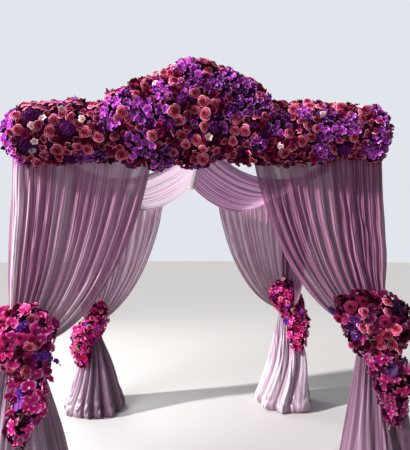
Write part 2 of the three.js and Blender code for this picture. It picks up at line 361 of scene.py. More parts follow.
voile = {
    # the tones are painted shade and light: from the shaded bottom of a fold to its lit crest
    "tones": [(0.0, (0.060, 0.015, 0.042)), (0.35, (0.228, 0.080, 0.163)), (0.70, (0.355, 0.205, 0.282)),
              (1.0, (0.800, 0.670, 0.740))],      # from the bottom of a fold to its crest
    "through": (0.80, 0.50, 0.77), "throughShare": 0.4,      # light that comes through
    "solid": 0.94, "sheerest": 0.55, "hemSolid": 0.95, "glow": 0.30,
    "threads": 700.0, "slub": 0.5, "slubShare": 0.22, "streaks": 1.0, "creaseShade": 0.36,
    "patchScale": 2.2, "patchContrast": 1.2, "patchShare": 0.30,
    "roughness": 0.65, "sheen": 0.08, "sheenRoughness": 0.4, "shine": 0.12,
    "hemWidth": 0.25, "hemShade": 0.25,                           # widths in tenths of a metre
    "stitchAt": 0.22, "stitchWidth": 0.012, "stitchShade": 0.6, "stitchDepth": 3.0,
    "bump": 0.15, "bumpDepth": 0.0004,
}
glossyVoile = {
    **voile, "roughness": 0.36, "shine": 0.6, "streaks": 0.7, "glow": 0.2,
    "tones": [(0.0, (0.050, 0.015, 0.038)), (0.35, (0.175, 0.090, 0.145)), (0.70, (0.378, 0.280, 0.360)),
              (1.0, (0.820, 0.700, 0.800))],
}
# painted light and shade: two copies of the swag cloth, the first paler and whiter as if sunlit, the second darker
# and more saturated as if in shade
sunlitVoile = {
    **voile, "glow": 0.5, "through": (0.50, 0.455, 0.49),
    "tones": [(0.0, (0.090, 0.018, 0.078)), (0.35, (0.320, 0.082, 0.268)), (0.70, (0.500, 0.290, 0.450)),
              (1.0, (0.440, 0.455, 0.440))],
}
shadedVoile = {
    **sunlitVoile, "through": (0.62, 0.38, 0.56),
    "tones": [(0.0, (0.060, 0.008, 0.050)), (0.35, (0.330, 0.080, 0.270)), (0.70, (0.560, 0.270, 0.480)),
              (1.0, (0.820, 0.520, 0.740))],
}


def voileMaterial(name, look):
    # the sheets' marks hold the fold's tone, which is painted shade and light, how sheer the cloth is, and the
    # distance to its hem
    material, n, shader = newMaterial(name)
    cloth, fold, sheer, edge = n.marks()
    darkest, dark = look["tones"][0][1], look["tones"][1][1]
    threads = n.group(weave, Cloth=cloth, Threads_per_metre=look["threads"], Slub=look["slub"])
    patches = n.group(mottle, Scale=look["patchScale"], Contrast=look["patchContrast"])[0]
    uneven = n.times(n.minus(patches, 0.5), look["patchShare"])
    streak = n.times(n.minus(threads["Streak mask"], 0.5), look["streaks"])
    # painted shade along the thin crease lines
    creased = n.times(threads["Crease mask"], -look["creaseShade"])
    tone = n.plus(n.plus(fold, n.plus(uneven, streak)), creased)
    color = n.mix(n.times(threads["Slub mask"], look["slubShare"]), n.ramp(tone, look["tones"]), dark)
    hem = n.math("LESS_THAN", edge, look["hemWidth"])
    stitch = n.math("LESS_THAN", n.math("ABSOLUTE", n.minus(edge, look["stitchAt"])), look["stitchWidth"])
    folded = n.mix(n.times(hem, look["hemShade"]), color, dark)
    sewn = n.mix(n.times(stitch, look["stitchShade"]), folded, darkest)
    height = n.minus(threads["Height"], n.times(stitch, look["stitchDepth"]))
    solid = n.minus(look["solid"], n.times(sheer, look["solid"] - look["sheerest"]))
    n.set(shader, Base_Color=sewn, Roughness=look["roughness"], Sheen_Weight=look["sheen"],
          Sheen_Roughness=look["sheenRoughness"], Specular_IOR_Level=look["shine"],
          Normal=n.bump(height, look["bump"], look["bumpDepth"]),
          Alpha=n.math("MAXIMUM", solid, n.times(hem, look["hemSolid"])))
    n.backlit(shader, n.mix(look["throughShare"], sewn, look["through"]), look["glow"])
    return material


paint = {
    # each finish: colour, worn colour, roughness, shine
    # painted shade: the foam core is coloured dark burgundy, as the shade in the gaps between the flowers
    "shadeDarkFoam": ((0.050, 0.002, 0.022), (0.036, 0.002, 0.040), 0.9, 0.02),
    "whitePaintedSteel": ((0.78, 0.76, 0.73), (0.52, 0.50, 0.48), 0.42, 0.5),
    "blackPaintedPlate": ((0.035, 0.034, 0.036), (0.09, 0.085, 0.08), 0.55, 0.5),
}
paintWear = {
    "patchScale": 22.0, "patchContrast": 1.6, "patchShare": 0.3, "fineScale": 160.0, "roughnessSpread": 0.16,
    "bump": 0.12, "bumpDepth": 0.0006,
}


def paintMaterial(name):
    color, worn, roughness, shine = paint[name]
    material, n, shader = newMaterial(name)
    spread = paintWear["roughnessSpread"]
    patches = n.group(mottle, Scale=paintWear["patchScale"], Contrast=paintWear["patchContrast"])[0]
    fine = n.group(mottle, Scale=paintWear["fineScale"], Contrast=1.0)[0]
    n.set(shader, Base_Color=n.mix(n.times(patches, paintWear["patchShare"]), color, worn),
          Roughness=n.plus(n.times(fine, spread), roughness - spread / 2), Metallic=0.0,
          Specular_IOR_Level=shine, Normal=n.bump(fine, paintWear["bump"], paintWear["bumpDepth"]))
    return material


petalLooks = {
    # heart, body, other body and rim colours, heartReach, rimShare, rimFrom, veinShare, veinCount, roughness,
    # shine, glow, deep; the heart is partly the flower's own darker centre and partly painted shade, and deep is the
    # share of painted shade at each petal's base
    "rosePetal": [(0.20, 0.001, 0.012), (0.50, 0.030, 0.118), (0.40, 0.016, 0.092), (0.97, 0.46, 0.58),
                  0.34, 0.85, 0.80, 0.06, 7.0, 0.55, 0.06, 0.24, 0.62],
    "crimsonPetal": [(0.07, 0.001, 0.006), (0.36, 0.004, 0.05), (0.46, 0.01, 0.16), (0.72, 0.1, 0.26),
                     0.1, 0.55, 0.88, 0.15, 7.0, 0.5, 0.06, 0.20, 0.6],
    "purpleOrchid": [(0.5, 0.28, 0.56), (0.210, 0.006, 0.270), (0.70, 0.060, 0.72), (0.95, 0.56, 0.98),
                     -0.3, 0.6, 0.66, 0.1, 6.0, 0.45, 0.08, 0.34, 0.45],
    "darkPurple": [(0.03, 0.001, 0.03), (0.070, 0.002, 0.062), (0.160, 0.005, 0.135), (0.26, 0.03, 0.25),
                   0.0, 0.35, 0.66, 0.1, 5.0, 0.5, 0.03, 0.15, 0.4],
    "violetOrchid": [(0.24, 0.08, 0.4), (0.085, 0.005, 0.24), (0.17, 0.01, 0.31), (0.36, 0.14, 0.6),
                     -0.2, 0.45, 0.66, 0.25, 8.0, 0.45, 0.12, 0.2, 0.3],
    "magentaOrchid": [(0.24, 0.001, 0.08), (0.66, 0.008, 0.21), (0.46, 0.006, 0.21), (1.0, 0.48, 0.76),
                      -0.05, 0.8, 0.66, 0.4, 9.0, 0.4, 0.15, 0.30, 0.3],
    "orchidLip": [(0.75, 0.52, 0.14), (0.34, 0.005, 0.12), (0.66, 0.26, 0.42), (0.6, 0.03, 0.26),
                  0.15, 0.3, 0.6, 0.1, 4.0, 0.4, 0.12, 0.1, 0.1],
    "hydrangea": [(0.06, 0.01, 0.07), (0.06, 0.003, 0.06), (0.12, 0.006, 0.12), (0.28, 0.07, 0.32),
                  0.0, 0.45, 0.66, 0.1, 4.0, 0.6, 0.03, 0.15, 0.4],
    "burgundyPetal": [(0.02, 0.0005, 0.006), (0.095, 0.003, 0.027), (0.21, 0.007, 0.055), (0.3, 0.02, 0.09),
                      0.1, 0.45, 0.66, 0.15, 4.0, 0.55, 0.03, 0.08, 0.6],
    "paleBlossom": [(0.7, 0.3, 0.22), (0.82, 0.48, 0.52), (0.86, 0.64, 0.64), (0.92, 0.78, 0.8),
                    0.05, 0.5, 0.6, 0.1, 5.0, 0.5, 0.1, 0.2, 0.3],
    "leaf": [(0.015, 0.002, 0.006), (0.06, 0.003, 0.022), (0.045, 0.003, 0.032), (0.10, 0.008, 0.034),
             0.0, 0.3, 0.6, 0.3, 5.0, 0.5, 0.03, 0.05, 0.3],
    "greenStem": [(0.05, 0.1, 0.02), (0.1, 0.17, 0.035), (0.17, 0.24, 0.07), (0.28, 0.34, 0.14),
                  0.0, 0.4, 0.6, 0.1, 4.0, 0.5, 0.15, 0.05, 0.2],
}
petalShades = {
    # painted shade: heartShade is how dark a petal's base is painted; darkest and brightest bound the painted shade
    # and light of a whole flower
    "darkest": 0.10, "brightest": 1.45, "heartShade": 0.12, "closedRim": 0.14,
    "wander": 0.3, "bump": 0.25, "bumpDepth": 0.0008,      # of the veins
}


def gray(value):
    return value, value, value


def petalMaterial(name):
    # the petals' marks hold their age in the flower, the choice of body colour and the flower's shade, a brightness
    # that varies at random and is also set lower or higher as painted shade and light
    (heart, body, otherBody, rim, heartReach, rimShare, rimFrom, veinShare, veinCount, roughness, shine, glow,
     deep) = petalLooks[name]
    material, n, shader = newMaterial(name)
    petal, age, choice, shade = n.marks()
    toRim = n.add("ShaderNodeSeparateXYZ", Vector=petal).outputs[1]
    lines = n.group(veins, Petal=petal, Count=veinCount, Wander=petalShades["wander"])
    opened = n.ramp(n.minus(age, heartReach), [(0.0, gray(0)), (0.5, gray(1))])
    inner = n.mix(opened, heart, n.mix(choice, body, otherBody))
    edge = n.ramp(toRim, [(rimFrom, gray(0)), (1.0, gray(1))])
    closed = petalShades["closedRim"]
    paled = n.times(edge, n.plus(n.times(opened, 1 - closed), closed))
    veined = n.mix(n.times(lines["Mask"], veinShare), n.mix(n.times(paled, rimShare), inner, rim), heart)
    # painted shade: each petal darkens towards its base, where the petals shade one another; deep sets how much
    paintedBaseShade = n.ramp(toRim, [(0.15, gray(petalShades["heartShade"])), (0.85, gray(1))])
    # painted shade and light: the shade mark darkens or brightens the whole flower
    shaded = n.ramp(shade, [(0.0, gray(petalShades["darkest"])), (1.0, gray(petalShades["brightest"]))])
    sunk = n.mix(deep, veined, n.mix(1.0, veined, paintedBaseShade, "MULTIPLY"))
    final = n.mix(1.0, sunk, shaded, "MULTIPLY")
    n.set(shader, Base_Color=final, Roughness=roughness, Specular_IOR_Level=shine,
          Normal=n.bump(lines["Height"], petalShades["bump"], petalShades["bumpDepth"]))
    n.backlit(shader, final, glow)
    return material


petalNames = list(petalLooks)
petalMaterials = [petalMaterial(name) for name in petalNames]
drapeMaterial = voileMaterial("mauveVoile", voile)
sashMaterial = voileMaterial("mauveSash", {**voile, "solid": 1.0, "sheerest": 1.0, "glow": 0.1})
tailMaterial = voileMaterial("glossyVoile", glossyVoile)
# the left swag takes the copy painted as sunlit, the right the copy painted as in shade
swagMaterials = {-1: voileMaterial("sunlitVoile", sunlitVoile), 1: voileMaterial("shadedVoile", shadedVoile)}
foamMaterial, steelMaterial, plateMaterial = (paintMaterial(name) for name in paint)
print("materials ready")


# Places taken from the frame

postNames = ("front_left", "front_right", "rear_right", "rear_left")


def perPost(*values):
    return dict(zip(postNames, values))


signs = perPost((-1, -1), (1, -1), (1, 1), (-1, 1))
plateLow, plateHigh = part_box("base_plate_front_right")
postHalf = (plateLow.x + plateHigh.x) / 2
beamLow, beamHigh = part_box("beam_front")
beamHeight = (beamLow.z + beamHigh.z) / 2
tieHeight = {name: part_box(f"tail_{name}")[1].z for name in postNames}

for start, material in (("post_", steelMaterial), ("corner_fitting_", steelMaterial), ("beam_", steelMaterial),
                        ("rafter_", steelMaterial), ("base_plate_", plateMaterial)):
    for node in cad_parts:
        if node.startswith(start):
            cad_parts[node].data.materials.clear()
            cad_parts[node].data.materials.append(material)


# Curtains: each is one sheet that wraps its beam, hangs in pleats and is gathered at the post

curtain = {
    "cols": 288, "rows": 42, "pocketRows": 5,
    "standOff": 0.054,           # from the beam's axis out to the middle of the pleats
    # the inner edge's curve: half the opening at the beam and at the two handles, and the handles' heights
    "openTop": 0.330, "openUpper": 0.375, "openBelly": 0.640, "upperShare": 0.65,
    "belly": perPost(0.060, 0.060, 0.110, 0.270),
    "cornerWrap": 0.062, "sideStart": -0.029,      # where the outer edge stands beside the post
    "tieOuter": 0.045, "tieInner": 0.055,          # the edges at the tie
    "broadFolds": 14, "fineFolds": 53, "creases": 67, "pinches": 44,      # how many across the cloth
    "broadDepth": 0.0140, "fineDepth": 0.0120, "creaseDepth": 0.0018, "pinchDepth": 0.009,
    "valleyWidth": 0.13, "sway": 0.010, "straightness": 0.17, "outerBulge": 0.024, "middleBulge": 0.014,
    "pocketRadius": 0.0225, "pocketAngle": 222, "pocketDrop": 0.085,
    # tones go from 0, the bottom of a fold, to 1, its crest: painted shade in the valleys and painted light on the
    # crests.
    # Each post's tone and contrast paint its curtain lighter or darker as if lit or in shade; the outer edge and the
    # sweep are painted lighter as if sunlit, and pinches are painted dark
    "tone": perPost(0.46, 0.27, 0.70, 0.66), "contrast": perPost(0.95, 0.50, 1.25, 2.2),
    "paintedEdgeLight": perPost(0.29, 0.14, 0.0, 0.0), "paintedSweepLight": perPost(0.13, 0.06, 0.0, 0.0),
    "broadFoldShading": 0.19, "fineFoldShading": 0.15, "pinchPaintedShade": 0.30,
    "sheerPatches": 0.6, "sheerEdge": 0.55,
    "flatWidth": 1.4, "pocketAndHem": 0.22,
}

faces = [
    # name, turn, whether it wraps the corners, its two curtains as (end, post, hand)
    ("front", 0, True, [("left", "front_left", 1), ("right", "front_right", -1)]),
    ("right", 90, False, [("front", "front_right", 1), ("rear", "rear_right", -1)]),
    ("rear", 180, True, [("right", "rear_right", 1), ("left", "rear_left", -1)]),
    ("left", 270, False, [("rear", "rear_left", 1), ("front", "front_left", -1)]),
]


def bezier(p0, p1, p2, p3, t):
    return (1 - t) ** 3 * p0 + 3 * (1 - t) ** 2 * t * p1 + 3 * (1 - t) * t ** 2 * p2 + t ** 3 * p3


def pleat(turns, valleyWidth):
    # one fold for each whole turn: a wide round crest and a narrow valley, -1 to 1
    toValley = np.abs(turns - np.round(turns))
    return -0.65 * np.cos(2 * math.pi * turns) + 0.35 * (1 - 2 * np.exp(-(toValley / valleyWidth) ** 2))


class FoldPlan:
    # folds of uneven width and depth; each has its own depth at the top and at the bottom
    def __init__(self, count, seed, spread=0.5):
        rng = np.random.default_rng(seed)
        widths = rng.uniform(1 - spread, 1 + spread, count)
        self.count = count
        self.bounds = np.concatenate([[0], np.cumsum(widths)]) / widths.sum()
        self.depths = rng.uniform(0.35, 1.25, (2, count)) * (0.5 + 0.5 * widths)
        self.leans = rng.uniform(-0.20, 0.20, count)

    def at(self, u, v, valleyWidth=0.22):
        # the fold's shape, -1 to 1, and its depth, both smooth in v
        u = u + 0 * v
        turns = np.interp(u % 1.0, self.bounds, np.arange(self.count + 1))
        turns = np.where(u >= 1, self.count, turns)
        which = np.clip(np.floor(turns).astype(int), 0, self.count - 1)
        share = turns - which
        skewed = share + self.leans[which] * np.sin(math.pi * share)
        middles = np.arange(-1, self.count + 1) + 0.5
        top, bottom = (np.interp(turns, middles, [row[-1], *row, row[0]]) for row in self.depths)
        return pleat(skewed, valleyWidth), mix(top, bottom, v + 0 * u)


def pinches(u, v, seed, count, isRing=False):
    # thin creases that begin and end part of the way down, 0 to 1 or so
    rng = np.random.default_rng(seed)
    total = np.zeros(np.broadcast_shapes(u.shape, v.shape))
    for _ in range(count):
        place, slant, width = rng.random(), rng.uniform(-0.05, 0.05), rng.uniform(0.003, 0.008)
        start, length = rng.uniform(-0.3, 0.7), rng.uniform(0.3, 0.8)
        off = u - place - slant * (v - start)
        if isRing:
            off = (off + 0.5) % 1 - 0.5
        fade = np.clip(np.sin(math.pi * np.clip((v - start) / length, 0, 1)), 0, 1)
        total = total + rng.uniform(0.5, 1.0) * fade * np.exp(-(off / width) ** 2)
    return total


def curtainSheet(post, wraps, seed):
    # the rows below the pocket: places along and out from the beam, heights, tones of painted shade and light,
    # sheerness, fine folds
    c = curtain
    u, v = across(c["cols"]), down(c["rows"]) ** 0.94
    tie = tieHeight[post]
    outerA = mix(-c["cornerWrap"] if wraps else c["sideStart"], -c["tieOuter"] if wraps else 0.0, v)
    outerA = outerA - c["outerBulge"] * np.sin(math.pi * v ** 1.4) ** 2
    outerZ = mix(beamHeight, tie, v)
    innerA = bezier(postHalf - c["openTop"], postHalf - c["openUpper"], postHalf - c["openBelly"],
                    c["tieInner"], v)
    innerZ = bezier(beamHeight, mix(tie, beamHeight, c["upperShare"]), tie + c["belly"][post], tie, v)
    sway = c["sway"] * ripple(v * 1.3 + u, seed + 2) * np.sin(math.pi * v)
    swayed = np.clip(u + sway, 0, 1)
    broad, uneven = FoldPlan(c["broadFolds"], seed, 0.72).at(swayed, v, c["valleyWidth"])
    small, smallDepth = FoldPlan(c["fineFolds"], seed + 1, 0.4).at(swayed, v)
    fine = small * smallDepth
    crease = np.sin(2 * math.pi * c["creases"] * u + 2 * ripple(u * 4 + v, seed + 4))
    pinch = pinches(u, v, seed + 3, c["pinches"])
    open_ = ease(v, 0.02, 0.30) * (1 - 0.72 * ease(v, 0.70, 1.0))
    gather = 1 - ease(v, 0.0, 0.25) + 0.8 * ease(v, 0.72, 1.0)
    depth = c["broadDepth"] * (0.22 + 0.85 * open_) * uneven * broad
    depth = depth + c["fineDepth"] * (0.42 + 0.58 * gather) * fine + c["creaseDepth"] * crease
    depth = depth - c["pinchDepth"] * pinch
    hang = u ** (1 - c["straightness"] * np.sin(math.pi * v ** 2))      # the folds hang before they turn to the tie
    a = mix(outerA, innerA, hang)
    z = mix(outerZ, innerZ, u)
    bulge = c["middleBulge"] * np.sin(math.pi * u) * np.sin(math.pi * v)
    middle = mix(0.027, mix(c["standOff"] + bulge, 0.050, ease(v, 0.8, 1.0)), ease(v, 0.0, 0.08))
    b = middle + depth * (1 - 0.45 * (1 - ease(a, 0.05, 0.12)))         # shallower near the post
    b = np.maximum(b, np.where(v < 0.10, mix(0.0245, 0.033, ease(v, 0, 0.03)), 0.033))
    if wraps:
        b = b - 0.022 * ease(-a, 0.028, 0.066)
    # painted shade and light: the tone follows the folds, with each post lighter or darker, a lighter outer edge and
    # sweep, and dark pinches
    folded = c["broadFoldShading"] * broad * (0.35 + 0.65 * open_) * np.clip(uneven, 0.5, 1.3)
    folded = folded + c["fineFoldShading"] * fine * (0.5 + gather)
    tone = c["tone"][post] + c["contrast"][post] * folded - c["pinchPaintedShade"] * pinch
    tone = tone + c["paintedEdgeLight"][post] * (1 - ease(u, 0.06, 0.20)) * ease(v, 0.05, 0.2)
    tone = tone + c["paintedSweepLight"][post] * ease(u, 0.35, 0.65) * ease(v, 0.30, 0.60) * (1 - ease(v, 0.80, 0.98))
    patches = ease(ripple(u * 4 + 0.5 * v, seed + 8), 0.1, 0.7) * (1 - ease(v, 0.02, 0.20))
    edge = ease(u, 0.62, 0.95) * ease(ripple(u * 5 + 1.5 * v, seed + 9), -0.1, 0.7)
    sheer = c["sheerPatches"] * patches + c["sheerEdge"] * edge
    return a, b, z, tone, sheer, fine


def curtainPoints(post, wraps, hand, seed):
    c = curtain
    a, b, z, tone, sheer, fine = curtainSheet(post, wraps, seed)
    s = down(c["pocketRows"])[:-1]          # the pocket: from inside the beam, over the top and down
    angle = math.radians(c["pocketAngle"]) * (1 - s)
    r = c["pocketRadius"] + 0.0030 * (1 + fine[0:1])
    full = ease(a[:1], 0.034, 0.048)        # clear of the corner fitting
    pocketB = mix(0.036, r * np.cos(angle), full)
    pocketZ = beamHeight + mix(0.034 * (1 - s), r * np.sin(angle), full)
    points = np.concatenate([grid(a[:1], pocketB, pocketZ), grid(a, b, z)])
    tones = np.concatenate([0.5 + 0 * pocketB, tone])
    sheers = np.concatenate([0 * pocketB, sheer])
    flatV = np.concatenate([-c["pocketDrop"] * (1 - s), (beamHeight - tieHeight[post]) * down(c["rows"]) ** 0.94])
    flatU = across(c["cols"]) * c["flatWidth"]
    hem = 10 * np.minimum(flatU, c["flatWidth"] - flatU)
    marks = np.clip(grid(tones, sheers, hem), 0, 1)
    uv = grid(flatU, flatV)
    if hand < 0:                                                # keeps the faces' outside the same
        points, marks, uv = points[:, ::-1], marks[:, ::-1], uv[:, ::-1]
    return grid(hand * (points[..., 0] - postHalf), -postHalf - points[..., 1], points[..., 2]), marks, uv


def turnZ(points, degrees):
    c, s = round(math.cos(math.radians(degrees))), round(math.sin(math.radians(degrees)))
    return points @ np.array([[c, s, 0], [-s, c, 0], [0, 0, 1]], float)


def clothPiece(name, sheet, flat, replaced=None, isRing=False, material=drapeMaterial):
    # sheet is the points, marks and flat coordinates, each (rows, columns, values)
    points, marks, uv = sheet
    rows, cols = points.shape[0] - 1, points.shape[1] - (0 if isRing else 1)
    mesh = quadMesh(name, points.reshape(-1, 3), gridQuads(rows, cols, isRing), uv.reshape(-1, 2),
                    marks.reshape(-1, 3))
    area = sum(face.area for face in mesh.polygons)
    print(f"{name}: {area:.2f} m2 of cloth, cut {flat[0]:.2f} x {flat[1]:.2f} m, {area / flat[0] / flat[1]:.2f}")
    piece = addObject(name, mesh, [material])
    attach(piece, "root")
    if replaced:
        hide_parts(replaced)


for faceIndex, (face, turn, wraps, pair) in enumerate(faces):
    for end, post, hand in pair:
        points, marks, uv = curtainPoints(post, wraps, hand, 100 + 10 * faceIndex + (hand > 0))
        length = beamHeight - tieHeight[post] + curtain["pocketAndHem"]
        clothPiece(f"{face}_{end}_curtain", (turnZ(points, turn), marks, uv), (curtain["flatWidth"], length),
                   f"curtain_{face}_{end}")
print("curtains hung")


# Tails: the cloth below each tie, one pleated ring that flares to the floor

tail = {
    "cols": 240, "rows": 46,
    "neck": 0.069, "floorRadius": 0.350, "puffLength": 0.060, "puff": perPost(0.055, 0.045, 0.018, 0.005),
    "flareCurve": perPost(1.05, 1.45, 1.20, 1.10), "twist": perPost(0.03, -0.04, 0.10, 0.03),
    "lean": perPost(0.055, 0.0, 0.055, 0.050), "leanFloor": perPost(0.045, 0.0, -0.010, 0.050),   # to the right
    "neckFolds": 36, "broadFolds": perPost(9, 8, 8, 17),
    "neckDepth": 0.014, "broadDepth": 0.038, "valleyWidth": 0.14, "sway": 0.012,
    "pinches": 34, "pinchDepth": 0.016,
    "tuck": 0.060, "tuckRows": 9,      # how far the hem rolls in under itself
    "puddle": perPost(0.011, 0.011, 0.014, 0.018), "puddleHeight": perPost(0.16, 0.16, 0.18, 0.22),
    # painted shade and light: each tail's tone is set lighter or darker as if sunlit or in shade, the side towards
    # the left is painted paler as if sunlit, and the folds' valleys are painted darker
    "tone": perPost(-0.20, -0.62, 0.18, -0.44), "sheer": 0.15,
    "middleTone": 0.60, "broadFoldShading": 0.22, "fineFoldShading": 0.22, "pinchPaintedShade": 0.35,
    "sunnySide": perPost(0.0, 0.40, 0.0, 0.50), "sunnyTowards": 215,      # paler to the left
    "neckHeight": 0.050, "hemHeight": 0.075,
    "flatWidth": 2.8, "hemLength": 0.06,
}


def tailPoints(post, seed):
    t = tail
    tie = tieHeight[post]
    angle, s = around(t["cols"]), down(t["rows"]) ** 0.9
    turn = angle / (2 * math.pi)
    z = mix(tie + 0.004, t["hemHeight"], s)
    length = tie - t["neckHeight"]
    drop = np.clip(length - z, 0, None)
    puff = t["puff"][post]
    flare = (t["floorRadius"] - t["neck"] - puff) * (drop / length) ** t["flareCurve"][post]
    radius = t["neck"] + puff * (1 - np.exp(-drop / t["puffLength"])) + flare
    open_ = ease(drop / length, 0.0, 0.45)
    folds = t["broadFolds"][post]
    swayed = turn + t["sway"] * np.sin(2 * angle + 4 * s + seed) + t["twist"][post] * s
    broad, uneven = FoldPlan(folds, 900 + int(10 * seed)).at(swayed, s, t["valleyWidth"])
    small, smallDepth = FoldPlan(t["neckFolds"], 950 + int(10 * seed), 0.4).at(swayed, s)
    fine = small * smallDepth
    pinch = pinches(turn, s, 970 + int(10 * seed), t["pinches"], isRing=True)
    depth = t["broadDepth"] * open_ * uneven * broad * (13 / folds) ** 0.55
    depth = depth + t["neckDepth"] * (1 - 0.62 * open_) * fine - t["pinchDepth"] * open_ * pinch
    low = 1 - ease(z, t["hemHeight"], t["puddleHeight"][post] + t["hemHeight"])      # slumps near the floor
    slump = np.sin(60 * z + 5 * np.sin(3 * angle + seed) + 3 * broad) * np.sin(7 * angle + 2 * seed)
    r = radius + depth + t["puddle"][post] * low * (slump + 0.5)
    roll = down(t["tuckRows"])[1:] * math.pi * 0.62
    hemZ = 0.003 + (t["hemHeight"] - 0.003) * (1 - np.sin(np.clip(roll, 0, math.pi / 2)))
    lift = 0.010 * np.clip(np.sin(angle * 6 + 2 * seed), 0, 1) * ease(roll, 0.6, 1.9)
    tuck = t["tuck"] * (1 + 0.35 * np.sin(angle * 4 + seed))
    z = np.concatenate([z + 0 * angle, hemZ + lift])
    r = np.concatenate([r, r[-1:] + 0.010 * np.sin(roll * 1.6) - tuck * (1 - np.cos(roll))])
    # painted shade in the folds' valleys and light on their crests, with a painted sunlit side
    tone = t["middleTone"] + t["broadFoldShading"] * broad * open_ * np.clip(uneven, 0.6, 1.2)
    tone = tone + fine * (t["fineFoldShading"] - 0.06 * open_) - t["pinchPaintedShade"] * pinch
    sunny = ease(np.cos(angle - math.radians(t["sunnyTowards"])), 0.5, 0.95) * open_
    tone = tone + t["tone"][post] + t["sunnySide"][post] * sunny
    # painted shade: the hem rolled under the tail is darker
    tone = np.concatenate([tone, np.repeat(tone[-1:] - 0.08, t["tuckRows"], axis=0)])
    gone = np.clip((tie - z) / tie, 0, 1)
    lean = t["lean"][post] * np.sin(math.pi * np.clip(gone / 0.7, 0, 1) / 2) ** 1.5
    lean = mix(lean, t["leanFloor"][post], ease(gone, 0.4, 1.0))
    sx, sy = signs[post]
    points = grid(sx * postHalf + lean + r * np.cos(angle), sy * postHalf + r * np.sin(angle), z)
    seam = 5 * np.abs(((angle / math.pi + 0.5) % 1) - 0.5) * t["flatWidth"] / 2      # the two widths' seams
    marks = np.clip(grid(tone, t["sheer"], seam), 0, 1)
    return points[::-1], marks[::-1], grid(turn * t["flatWidth"], tie - z)[::-1]


for k, post in enumerate(postNames):
    flat = (tail["flatWidth"], tieHeight[post] + tail["hemLength"])
    clothPiece(f"{post}_tail", tailPoints(post, 3 + 1.7 * k), flat,
               f"tail_{post}", isRing=True, material=tailMaterial)
print("tails hung")


# Sleeves: the cloth gathered round each post above its tie

sleeve = {
    "cols": 60, "rows": 34, "radius": 0.0295, "inward": 0.014, "folds": 11, "foldDepth": 0.0032,
    # how far under the beam it ends, and how wide its cloth is cut
    "below": 0.085, "flatWidth": 0.26, "overlap": 1.06,
    "middleTone": 0.52, "foldShading": 0.3,
}


def sleevePoints(post, high, index):
    sx, sy = signs[post]
    start = math.atan2(sy, sx)                 # its two edges overlap on the outside
    turned = 2 * math.pi * sleeve["overlap"] * across(sleeve["cols"])
    angle, s = start + turned, down(sleeve["rows"])
    swayed = angle / (2 * math.pi) + 0.03 * ripple(s, 310 + index)
    shape, depth = FoldPlan(sleeve["folds"], 300 + index).at(swayed, s, 0.2)
    inside = np.clip(-(sx * np.cos(angle) + sy * np.sin(angle)) / 1.4, 0, 1) * np.sin(math.pi * s) ** 0.7
    r = sleeve["radius"] + sleeve["foldDepth"] * (0.4 + 0.6 * shape * depth)
    r = r + inside * (sleeve["inward"] + 1.2 * sleeve["foldDepth"] * shape * depth)
    r = r + 0.0018 * ease(turned, 5.6, 6.2)
    z = mix(tieHeight[post], high, s)
    along = sleeve["flatWidth"] * across(sleeve["cols"])
    hem = 10 * np.minimum(along, sleeve["flatWidth"] - along)
    points = grid(sx * postHalf + r * np.cos(angle), sy * postHalf + r * np.sin(angle), z)
    # painted shade: the tone is darker in the folds' valleys and lighter on their crests
    return points, np.clip(grid(sleeve["middleTone"] + sleeve["foldShading"] * shape, 0, hem), 0, 1), grid(along, z)


for k, post in enumerate(postNames):
    high = beamHeight - sleeve["below"]
    clothPiece(f"{post}_sleeve", sleevePoints(post, high, k), (sleeve["flatWidth"], high - tieHeight[post]))
print("sleeves on the posts")


# Tie bands: a folded sash wound round the gathered cloth

band = {
    "cols": 120, "rows": 14, "radius": 0.0845, "wraps": 3, "depth": 0.0035, "bulge": 0.003, "flat": (0.54, 0.05),
    "middleTone": 0.55, "foldShading": 0.35,
}


def bandPoints(post, index):
    low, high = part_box(f"tie_band_{post}")
    angle, s = around(band["cols"]), down(band["rows"])
    wound = np.sin(2 * math.pi * band["wraps"] * s + 0.8 * np.sin(angle + index))
    r = band["radius"] + band["depth"] * wound * np.sin(math.pi * s) ** 0.5
    r = r + band["bulge"] * np.sin(math.pi * s) + 0.0012 * np.sin(17 * angle + 9 * s)
    z = mix(low.z, high.z, s) + 0.002 * np.sin(2 * angle + index)
    cx, cy = (sign * postHalf for sign in signs[post])
    points = grid(cx + r * np.cos(angle), cy + r * np.sin(angle), z)
    # painted shade: the tone is darker in the wound folds' valleys and lighter on their crests
    marks = np.clip(grid(band["middleTone"] + band["foldShading"] * wound, 0, 1), 0, 1)
    return points, marks, grid(0.085 * angle, 0.04 * s)


for k, post in enumerate(postNames):
    clothPiece(f"{post}_sash", bandPoints(post, k), band["flat"], f"tie_band_{post}",
               isRing=True, material=sashMaterial)
print("sashes tied")


# Ceiling: two swagged sheets, from the centre rafter to each side beam

ceiling = {
    "cols": 36, "rows": 236, "sag": 0.312, "overRafter": 0.031, "overBeam": 0.041,
    "folds": 13, "fineFolds": 34, "foldDepth": 0.023, "fineDepth": 0.011, "valleyWidth": 0.15,
    # painted light and shade: the left swag's tone is higher as if sunlit, the right's lower as if in shade, and
    # contrast scales the painted shade of the folds
    "tone": {-1: 0.10, 1: -0.14}, "contrast": {-1: 2.4, 1: 3.6},      # of the left and the right swag
    "middleTone": 0.60, "broadFoldShading": 0.36, "fineFoldShading": 0.20, "sheer": 0.12,
    "flat": (1.42, 2.7), "clothLength": 2.6,
}


